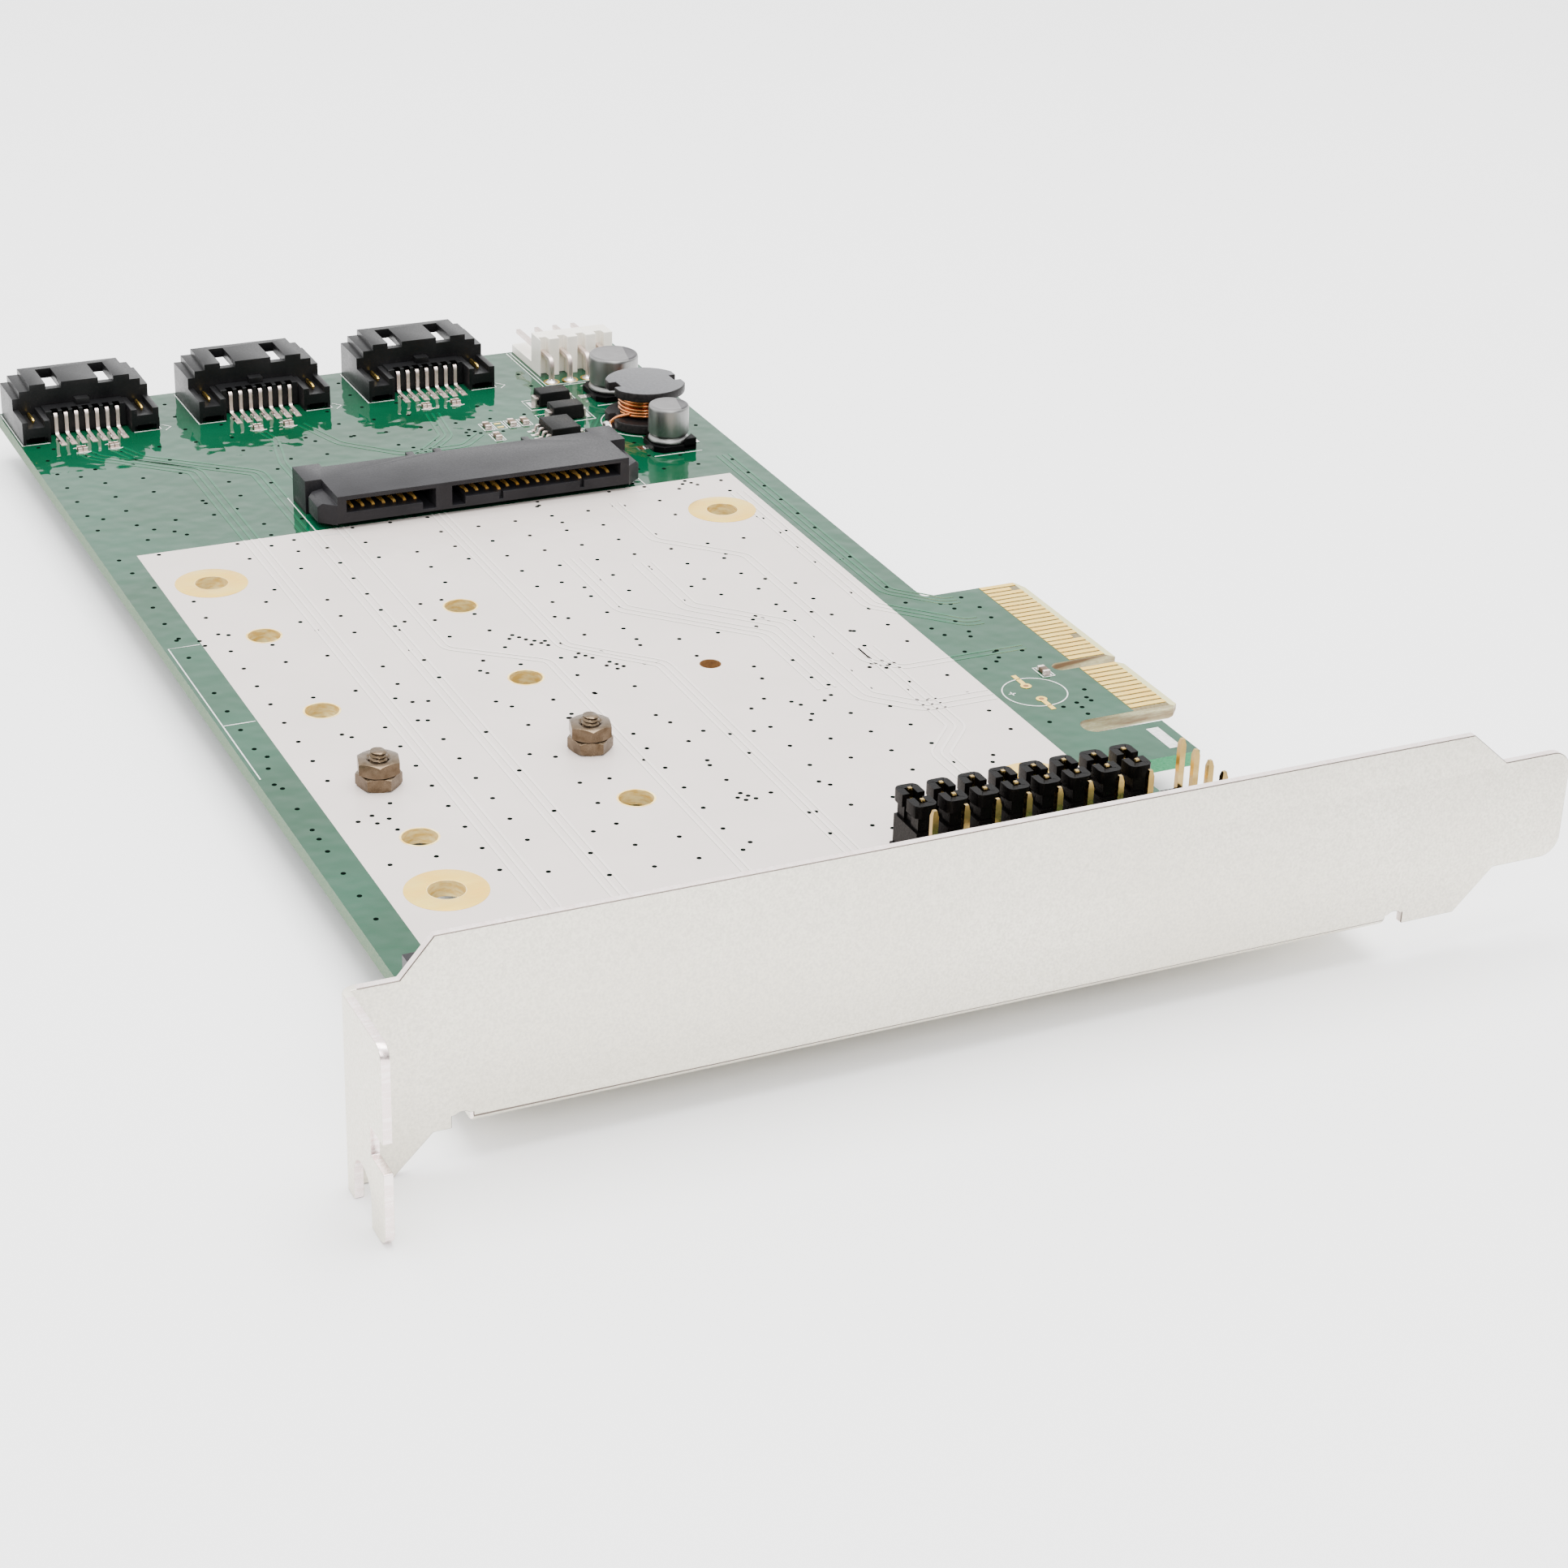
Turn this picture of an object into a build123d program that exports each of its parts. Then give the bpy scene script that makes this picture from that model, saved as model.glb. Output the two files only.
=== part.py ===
from build123d import *
from math import cos, radians, sin, tan
import os

os.makedirs("parts", exist_ok=True)

# Storage adapter card for a computer's expansion slot, in millimetres.
# The card lies on its back, component side up. The origin is the middle of the key notch, on the
# card edge that enters the slot, at the board's component face. +X runs from the bracket towards
# the cable ports, +Y from the slot towards the bracket's screw tab, +Z out of the component side.

# Bare board
BOARD_T = 1.57
BOARD_RIGHT = 114.25
BOARD_TOP = 94.35
BOARD_LOW = 12.6
BOARD_CORNER_R = 0.8
GOLD_T = 0.05

# Small round parts and their holes are drawn with this many sides, which keeps the mesh light
SMALL_SIDES = 12
RING_SIDES = 24

# Tongue that enters the slot, with its key notch and contact fingers
TONGUE_LEFT = -12.6
TONGUE_RIGHT = 21.95
TONGUE_CORNER = 0.8
KEY_W = 1.9
KEY_DEPTH = 8.25
EDGE_BEVEL = 1.3
EDGE_BEVEL_ANGLE = 20
FINGER_PITCH = 1.0
FINGER_W = 0.7
FINGER_END = 5.6
FINGER_SHORT = 1.0
FIRST_GROUP = 11
LAST_FINGER = 32
KEY_TO_FINGER = 1.5

# Hook beside the tongue, and the gap between the two
HOOK_LEFT = -23.2
HOOK_LOW = 4.05
HOOK_GAP = 3.0

# Holes that take a 2.5 inch drive, straight through the board
DRIVE_HOLE_X = -23.0
DRIVE_HOLE_Y = 23.0
DRIVE_PITCH_X = 76.6
DRIVE_PITCH_Y = 61.72
DRIVE_HOLE_R = 1.85
DRIVE_RING_R = 4.0

# Two rows of holes for plug-in storage cards, one hole for each card length
CARD_DATUM_X = -42.1
CARD_LENGTHS = (30, 42, 60, 80)
CARD_NUT_LENGTH = 42
CARD_ROWS_Y = (83.5, 61.3)
CARD_HOLE_R = 1.8
TOOLING_HOLE = (14.1, 41.9)
TOOLING_HOLE_R = 1.15

# Folded sheet bracket
BRACKET_X = -57.95
SHEET = 0.86
BEND_R = 0.4
BRACKET_LEN = 120.02
BRACKET_TAB_Y = 105.9
BRACKET_TOP = 16.1
BRACKET_W = 18.42
NECK_DROP = 3.5
NECK_Y = 101.0
SHOULDER_Y = 98.0
LOW_SHOULDER_Y = 98.4
TIP_W = 10.9
TIP_LEN = 7.4
TIP_SHOULDER = 4.0
TIP_R = 2.0
TAB_DEPTH = 10.4
TAB_R = 1.3
TAB_SLOT_W = 4.42
TAB_SLOT_X = -61.95
TAB_SLOT_DEPTH = 4.7
TAB_NOTCH_W = 2.8
TAB_NOTCH_DEPTH = 3.2
TAB_NOTCH_Z = 2.5
FLANGE_W = 10.0
FLANGE_Y0 = 5.0
FLANGE_Y1 = 94.9
RELIEF_W = 1.9
RELIEF_TOP = -0.9
BOARD_END_GAP = 0.3

# Screws that hold the board to the bracket's flange
SCREW_R = 1.45
SCREW_HOLE_R = 1.6
SCREW_HEAD_R = 2.75
SCREW_HEAD_H = 1.9
SCREW_HEAD_CHAMFER = 0.6
SCREW_TIP = 0.8
SCREW_EDGE = 4.6
SCREW_YS = (33.0, 88.5)

# Through-hole pins
PITCH = 2.54
PIN_W = 0.64
PIN_TAIL = 1.3
PIN_POINT = 0.2

# Eight jumper headers of three pins, and the four-pin header beside them
JUMPERS = 8
JUMPER_X = -37.36
JUMPER_Y0 = 20.5
JUMPER_PITCH = 3.27
JUMPER_PINS = 3
HEADER_W = 2.5
HEADER_H = 2.54
PIN_TIP_Z = 8.54
SPARE_HEADER = (-38.91, 14.1)
SPARE_PINS = 4

# Jumper cap that bridges two pins
CAP_L = 4.95
CAP_W = 2.35
CAP_H = 5.75
CAP_LOW_H = 4.3
CAP_INSET = 0.12
CAP_GAP = 0.85
CAP_NOTCH_DEPTH = 0.45
CAP_NOTCH_Z = 2.4
CAP_WALL = 0.6
CLIP_T = 0.15
CLIP_Z = 0.5
CLIP_H = 4.6

# Cable ports along the far edge
PORTS = 3
PORT_Y0 = 41.7
PORT_PITCH = 21.93
PORT_X = 102.35
PORT_W = 16.8
PORT_DEPTH = 11.25
PORT_BODY_DEPTH = 6.4
PORT_STEP_H = 4.25
PORT_STEP2_H = 5.08
PORT_TOP_H = 5.8
PORT_STEP_IN = 0.9
PORT_STEP2_IN = 2.2
PORT_ARM_W = 3.4
PORT_ARM_H = 2.85
PORT_ARM_WALL = 0.7
PORT_ARM_FLOOR = 2.05
PORT_LUG_W = 1.7
PORT_LUG_L = 1.2
PORT_LUG_Z = 3.0
PORT_LUG_TOP = 3.75
PORT_WALL = 1.0
PORT_CAVITY_DEPTH = 5.4
PORT_FLOOR = 0.9
PORT_TONGUE_W = 10.4
PORT_TONGUE_T = 1.15
PORT_KEY_W = 1.3
PORT_WINDOW_W = 1.9
PORT_WINDOW_Y = 3.25
PORT_WINDOW_END = 1.0
PORT_WINDOW_LIP = 1.2
PORT_CONTACTS = 7
CONTACT_PITCH = 1.27
PORT_LEAD_W = 0.5
PORT_LEAD_T = 0.25
PORT_LEAD_Z = 2.75
PORT_LEAD_X = 2.15
PORT_FOOT_X = -1.15
PORT_CONTACT_SET = 1.2
PORT_BLADE_H = 1.4
PORT_BLADE_L = 2.2

# Socket for the drive that lies on the board
SOCKET_X = 63.3
SOCKET_Y = 48.9
SOCKET_W = 36.1
SOCKET_H = 4.1
SOCKET_DEPTH = 9.8
SOCKET_GAP = 0.75
SOCKET_NOSE = 5.9
SOCKET_EAR_W = 1.95
SOCKET_EAR_DEPTH = 4.95
SOCKET_EAR_SET = 6.0
SOCKET_EAR_IN = 1.3
SOCKET_SIDE = 1.1
SOCKET_BRIDGE_Y = 5.15
SOCKET_BRIDGE_W = 2.0
SOCKET_MOUTH_Z = 2.02
SOCKET_MOUTH_TOP = 3.56
SOCKET_KEY_Z = 1.12
SOCKET_KEY_W = 1.6
SOCKET_MOUTH_DEPTH = 6.2
SOCKET_SLIT_W = 0.5
SOCKET_SLIT_DEPTH = 0.9
SOCKET_SLITS = (3, 11)
SOCKET_RIB_L = 1.1
SOCKET_RIB_W = 0.9
SOCKET_RIBS = (-8.9, 2.3, 5.7)
PEG_L = 5.8
PEG_W = 1.9
PEG_H = 2.45
PEG_Z = 0.6
PEG_POINT = 1.6
PEG_CHAMFER = 0.5
POWER_CONTACTS = 15
SIGNAL_CONTACTS = 7
POWER_CONTACT_Y = 33.03
GROUP_GAP = 6.35
BLADE_W = 0.6
BLADE_T = 0.25
BLADE_SET = 1.3
BLADE_LONG_SET = 0.7
BLADE_OUT = 0.5
BLADE_FOOT = 1.4

# White power header by the far edge
POWER_X = 103.9
POWER_Y = 21.42
POWER_W = 10.05
POWER_PIN_SHIFT = 0.53
POWER_PINS = 4
POWER_WALL_T = 3.2
POWER_H = 5.0
POWER_GROOVE_W = 1.1
POWER_GROOVE_DEPTH = 1.1
POWER_PLATE_L = 7.1
POWER_PLATE_T = 1.1
POWER_PIN_Z = 3.0
POWER_PIN_BACK = 2.3
POWER_PIN_REACH = 6.6

# Two can capacitors: middle, can radius
CAN_H = 5.4
LARGE_CAN = (95.1, 19.85)
LARGE_CAN_R = 3.15
SMALL_CAN = (75.5, 20.55)
SMALL_CAN_R = 2.5
CAN_BASE_MARGIN = 0.15
CAN_BASE_T = 0.75
CAN_POST_H = 1.55
CAN_CLEAR = 0.08
CAN_CORNER = 1.0
CAN_EDGE_R = 0.35
CAN_CRIMP_Z = 1.55
CAN_CRIMP_DEPTH = 0.25
CAN_LEAD_W = 0.8
CAN_LEAD_T = 0.15
CAN_LEAD_OUT = 0.55

# Wire-wound choke
CHOKE = (84.1, 20.1)
CHOKE_L = 10.0
CHOKE_W = 9.0
CHOKE_H = 5.4
CHOKE_FLANGE = 1.15
CHOKE_POST_R = 2.3
CHOKE_NOTCH_W = 1.7
CHOKE_NOTCH_DEPTH = 0.9
CHOKE_FOOT = 0.12
CHOKE_PAD_W = 3.0
CHOKE_PAD_IN = 1.6
CHOKE_PAD_OUT = 0.5
CHOKE_COIL_R = 3.65

# Two diodes, and the regulator chip
DIODES = ((94.3, 28.6), (88.95, 28.85))
DIODE_L = 4.2
DIODE_W = 2.65
DIODE_H = 1.9
DIODE_FOOT = 0.2
MOULD_DRAFT = 4
DIODE_LEAD_W = 1.4
DIODE_LEAD_Z = 1.0
DIODE_LEAD_OUT = 0.3
DIODE_LEAD_IN = 0.9
CHIP = (83.6, 31.7)
CHIP_L = 4.9
CHIP_W = 3.9
CHIP_H = 1.5
CHIP_FOOT = 0.15
CHIP_LEADS = 4
CHIP_LEAD_W = 0.42
CHIP_LEAD_T = 0.2
CHIP_LEAD_Z = 0.75
CHIP_LEAD_OUT = 1.0
CHIP_LEAD_IN = 0.3
CHIP_LEAD_KNEE = 0.4

# Small chip capacitors and resistors
SMALL_CHIP_L = 1.6
SMALL_CHIP_W = 0.8
SMALL_CHIP_H = 0.5
SMALL_CHIP_END = 0.4
SMALL_CHIP_SITES = ((89.0, 39.3), (89.0, 36.0), (89.0, 34.3), (85.2, 39.3), (-0.6, 9.7))

# Sockets for the plug-in storage cards, behind the bracket
CARD_SOCKET_W = 21.4
CARD_SOCKET_DEPTH = 8.7
CARD_SOCKET_H = 3.2
CARD_SOCKET_BITE = 4.0
CARD_MOUTH_W = 20.0
CARD_MOUTH_H = 1.1
CARD_BOARD_Z = 1.45
CARD_MOUTH_DEPTH = 4.6
CARD_KEY_Y = 6.1
CARD_KEY_W = 1.1

# Two nuts on one screw, at the 42 mm hole of each row
NUT_ACROSS = 4.0
NUT_T = CARD_BOARD_Z
NUT_COUNTERSINK = 0.25
NUT_TURNS = (13, 46)
STUD_R = 0.95
STUD_OUT = 0.85
STUD_HEAD_R = 2.2
STUD_HEAD_H = 1.3

# Places that follow from the sizes above
HOOK_RIGHT = TONGUE_LEFT - HOOK_GAP
BOARD_LEFT = BRACKET_X + SHEET + BOARD_END_GAP
BRACKET_LOW = BRACKET_TOP - BRACKET_W
TIP_Y = BRACKET_TAB_Y - BRACKET_LEN
NECK_TOP = BRACKET_TOP - NECK_DROP
TAB_LOW = NECK_TOP - BRACKET_W
SCREW_X = BRACKET_X + SHEET + SCREW_EDGE
BEND_TOP = BEND_R - BOARD_T
JUMPER_XS = [JUMPER_X + (i - 1) * PITCH for i in range(JUMPER_PINS)]
JUMPER_YS = [JUMPER_Y0 + i * JUMPER_PITCH for i in range(JUMPERS)]
SPARE_XS = [SPARE_HEADER[0] + (i - (SPARE_PINS - 1) / 2) * PITCH for i in range(SPARE_PINS)]
POWER_YS = [POWER_Y + POWER_PIN_SHIFT + (i - (POWER_PINS - 1) / 2) * PITCH for i in range(POWER_PINS)]
POWER_TAIL_X = POWER_X - POWER_PIN_BACK
PIN_SITES = [(x, y) for x in JUMPER_XS for y in JUMPER_YS]
SPARE_SITES = [(x, SPARE_HEADER[1]) for x in SPARE_XS]
TAIL_SITES = PIN_SITES + SPARE_SITES + [(POWER_TAIL_X, y) for y in POWER_YS]
DRIVE_SITES = [(DRIVE_HOLE_X + i * DRIVE_PITCH_X, DRIVE_HOLE_Y + j * DRIVE_PITCH_Y)
               for i in (0, 1) for j in (0, 1)]
CARD_SITES = [(CARD_DATUM_X + length, y) for y in CARD_ROWS_Y for length in CARD_LENGTHS]
STUD_SITES = [(CARD_DATUM_X + CARD_NUT_LENGTH, y) for y in CARD_ROWS_Y]
SCREW_SITES = [(SCREW_X, y) for y in SCREW_YS]
PORT_YS = [PORT_Y0 + i * PORT_PITCH for i in range(PORTS)]
FINGER_XS = [-KEY_TO_FINGER - (FIRST_GROUP - n) * FINGER_PITCH for n in range(1, FIRST_GROUP + 1)]
FINGER_XS += [KEY_TO_FINGER + (n - FIRST_GROUP - 1) * FINGER_PITCH
              for n in range(FIRST_GROUP + 1, LAST_FINGER + 1)]
LOW = (Align.CENTER, Align.CENTER, Align.MIN)
HIGH = (Align.CENTER, Align.CENTER, Align.MAX)
CORNER = (Align.MIN, Align.MIN)
CORNER_BOX = (Align.MIN, Align.MIN, Align.MIN)


def across(x, y=0.0):
    """Plane that faces +X, with its sketch axes along +Y and +Z."""
    return Plane(origin=(x, y, 0), x_dir=(0, 1, 0), z_dir=(1, 0, 0))


def along(y, x=0.0):
    """Plane that faces +Y, with its sketch axes along -X and +Z."""
    return Plane(origin=(x, y, 0), x_dir=(-1, 0, 0), z_dir=(0, 1, 0))


# The board is one milled panel: a long rectangle with the slot tongue and the hook on its low
# edge. The tongue has a key notch and is bevelled on both faces so that it enters the slot.
with BuildPart() as circuit_board:
    with BuildSketch(Plane.XY.offset(-BOARD_T)) as board_outline:
        with Locations((BOARD_LEFT, BOARD_LOW)):
            Rectangle(BOARD_RIGHT - BOARD_LEFT, BOARD_TOP - BOARD_LOW, align=CORNER)
        with Locations((HOOK_LEFT, HOOK_LOW)):
            Rectangle(HOOK_RIGHT - HOOK_LEFT, BOARD_LOW - HOOK_LOW, align=CORNER)
        with Locations((TONGUE_LEFT, 0)):
            Rectangle(TONGUE_RIGHT - TONGUE_LEFT, BOARD_LOW, align=CORNER)
        low_corners = board_outline.vertices().group_by(Axis.Y)
        chamfer(low_corners[0], TONGUE_CORNER)
        gap_corners = [v for v in board_outline.vertices()
                       if abs(v.Y - BOARD_LOW) < 0.01 and HOOK_RIGHT - 0.01 < v.X < TONGUE_LEFT + 0.01]
        fillet(gap_corners, HOOK_GAP * 0.45)
        shoulder = [v for v in board_outline.vertices()
                    if abs(v.Y - BOARD_LOW) < 0.01 and abs(v.X - TONGUE_RIGHT) < 0.01]
        fillet(shoulder, BOARD_CORNER_R)
        with Locations((0, KEY_DEPTH / 2 - KEY_W / 4)):
            Rectangle(KEY_W, KEY_DEPTH - KEY_W / 2, mode=Mode.SUBTRACT)
        with Locations((0, KEY_DEPTH - KEY_W / 2)):
            Circle(KEY_W / 2, mode=Mode.SUBTRACT)
        with Locations(*DRIVE_SITES):
            Circle(DRIVE_HOLE_R, mode=Mode.SUBTRACT)
        with Locations(*CARD_SITES):
            Circle(CARD_HOLE_R, mode=Mode.SUBTRACT)
        with Locations(TOOLING_HOLE):
            Circle(TOOLING_HOLE_R, mode=Mode.SUBTRACT)
        with Locations(*SCREW_SITES):
            RegularPolygon(SCREW_HOLE_R, SMALL_SIDES, mode=Mode.SUBTRACT)
        with Locations(*TAIL_SITES):
            Rectangle(PIN_W, PIN_W, mode=Mode.SUBTRACT)
    extrude(amount=BOARD_T)
    bevel_drop = EDGE_BEVEL * tan(radians(EDGE_BEVEL_ANGLE))
    with BuildSketch(across(TONGUE_LEFT)):
        for face_z, drop in ((0, -bevel_drop), (-BOARD_T, bevel_drop)):
            with BuildLine():
                Polyline((0, face_z), (EDGE_BEVEL, face_z), (0, face_z + drop), close=True)
            make_face()
    extrude(amount=TONGUE_RIGHT - TONGUE_LEFT, mode=Mode.SUBTRACT)
circuit_board.part.label = "circuit_board"
export_step(circuit_board.part, "parts/circuit_board.step")

# Gold contact fingers lie on both faces of the tongue. The presence fingers are shorter.
for side, base_z, short_fingers in (("top", 0, (17, 31)), ("bottom", -BOARD_T - GOLD_T, (1,))):
    with BuildPart() as edge_contacts:
        with BuildSketch(Plane.XY.offset(base_z)):
            for number, x in enumerate(FINGER_XS, start=1):
                tip_y = EDGE_BEVEL + (FINGER_SHORT if number in short_fingers else 0)
                with Locations((x, tip_y)):
                    Rectangle(FINGER_W, FINGER_END - tip_y, align=(Align.CENTER, Align.MIN))
        extrude(amount=GOLD_T)
    edge_contacts.part.label = f"edge_contacts_{side}"
    export_step(edge_contacts.part, f"parts/edge_contacts_{side}.step")

# A wide gold ring lies round each drive hole, on the component face.
with BuildPart() as drive_hole_rings:
    with BuildSketch():
        with Locations(*DRIVE_SITES):
            RegularPolygon(DRIVE_RING_R, RING_SIDES)
        with Locations(*DRIVE_SITES):
            RegularPolygon(DRIVE_HOLE_R, RING_SIDES, major_radius=False, mode=Mode.SUBTRACT)
    extrude(amount=GOLD_T)
drive_hole_rings.part.label = "drive_hole_rings"
export_step(drive_hole_rings.part, "parts/drive_hole_rings.step")

# The bracket is one blanked and folded sheet: a face with a stepped tip, a flange folded under
# the board between two relief notches, and a screw tab folded outwards at the other end.
with BuildPart() as bracket:
    with BuildSketch(across(BRACKET_X)) as face:
        fold_y = BRACKET_TAB_Y - SHEET - BEND_R
        tip_top = NECK_TOP
        tip_low = tip_top - TIP_W
        tip_neck = TIP_Y + TIP_LEN
        with BuildLine():
            Polyline((fold_y, NECK_TOP), (NECK_Y, NECK_TOP), (SHOULDER_Y, BRACKET_TOP),
                     (tip_neck + TIP_SHOULDER, BRACKET_TOP), (tip_neck, tip_top), (TIP_Y, tip_top),
                     (TIP_Y, tip_low), (tip_neck, tip_low), (tip_neck + TIP_SHOULDER, BRACKET_LOW),
                     (LOW_SHOULDER_Y, BRACKET_LOW), (LOW_SHOULDER_Y + BRACKET_LOW - TAB_LOW, TAB_LOW),
                     (fold_y, TAB_LOW), close=True)
        make_face()
        fillet(face.vertices().group_by(Axis.X)[0], TIP_R)
        with Locations((FLANGE_Y0 - RELIEF_W, BRACKET_LOW)):
            Rectangle(FLANGE_Y1 - FLANGE_Y0 + 2 * RELIEF_W, BEND_TOP - BRACKET_LOW, align=CORNER,
                      mode=Mode.SUBTRACT)
        for y in (FLANGE_Y0 - RELIEF_W / 2, FLANGE_Y1 + RELIEF_W / 2):
            with Locations((y, RELIEF_TOP - RELIEF_W / 2)):
                Circle(RELIEF_W / 2, mode=Mode.SUBTRACT)
    extrude(amount=SHEET)
    with BuildSketch(along(FLANGE_Y0)) as flange_section:
        with Locations((-BRACKET_X, -BOARD_T - SHEET)):
            Rectangle(SHEET, 2 * BEND_R + SHEET, align=(Align.MAX, Align.MIN))
            Rectangle(FLANGE_W, SHEET, align=(Align.MAX, Align.MIN))
        outer = flange_section.vertices().sort_by_distance((-BRACKET_X, -BOARD_T - SHEET))[0]
        inner = flange_section.vertices().sort_by_distance((-BRACKET_X - SHEET, -BOARD_T))[0]
        fillet(outer, BEND_R + SHEET)
        fillet(inner, BEND_R * 0.98)
    extrude(amount=FLANGE_Y1 - FLANGE_Y0)
    with BuildSketch(Plane.XY.offset(TAB_LOW)) as tab_section:
        with Locations((BRACKET_X + SHEET, BRACKET_TAB_Y)):
            Rectangle(SHEET, SHEET + 2 * BEND_R, align=(Align.MAX, Align.MAX))
            Rectangle(TAB_DEPTH, SHEET, align=(Align.MAX, Align.MAX))
        outer = tab_section.vertices().sort_by_distance((BRACKET_X + SHEET, BRACKET_TAB_Y))[0]
        inner = tab_section.vertices().sort_by_distance((BRACKET_X, BRACKET_TAB_Y - SHEET))[0]
        fillet(outer, BEND_R + SHEET)
        fillet(inner, BEND_R * 0.98)
    extrude(amount=NECK_TOP - TAB_LOW)
    tab_edge = BRACKET_X + SHEET - TAB_DEPTH
    with BuildSketch(along(BRACKET_TAB_Y - 2 * SHEET)) as tab_cuts:
        slot_r = TAB_SLOT_W / 2
        with Locations((-TAB_SLOT_X, TAB_LOW)):
            Rectangle(TAB_SLOT_W, TAB_SLOT_DEPTH - slot_r, align=(Align.CENTER, Align.MIN))
        with Locations((-TAB_SLOT_X, TAB_LOW + TAB_SLOT_DEPTH - slot_r)):
            Circle(slot_r)
        with Locations((-tab_edge, TAB_NOTCH_Z)):
            Rectangle(TAB_NOTCH_DEPTH, TAB_NOTCH_W, align=(Align.MAX, Align.CENTER))
    extrude(amount=3 * SHEET, mode=Mode.SUBTRACT)
    tab_corners = bracket.edges().filter_by(Axis.Y).group_by(Axis.X)[0].sort_by(Axis.Z)
    fillet([tab_corners[0], tab_corners[-1]], TAB_R)
    with BuildSketch(Plane.XY.offset(-BOARD_T)):
        with Locations(*SCREW_SITES):
            RegularPolygon(SCREW_R, SMALL_SIDES)
    extrude(amount=-2 * SHEET, mode=Mode.SUBTRACT)
bracket.part.label = "bracket"
export_step(bracket.part, "parts/bracket.step")

# Two pan-head screws go down through the board into the flange's threads.
with BuildPart() as bracket_screws:
    with BuildSketch():
        with Locations(*SCREW_SITES):
            RegularPolygon(SCREW_HEAD_R, SMALL_SIDES)
    extrude(amount=SCREW_HEAD_H)
    chamfer(bracket_screws.edges().group_by(Axis.Z)[-1], SCREW_HEAD_CHAMFER)
    with BuildSketch():
        with Locations(*SCREW_SITES):
            RegularPolygon(SCREW_R, SMALL_SIDES)
    extrude(amount=-(BOARD_T + SHEET + SCREW_TIP))
bracket_screws.part.label = "bracket_screws"
export_step(bracket_screws.part, "parts/bracket_screws.step")

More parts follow.
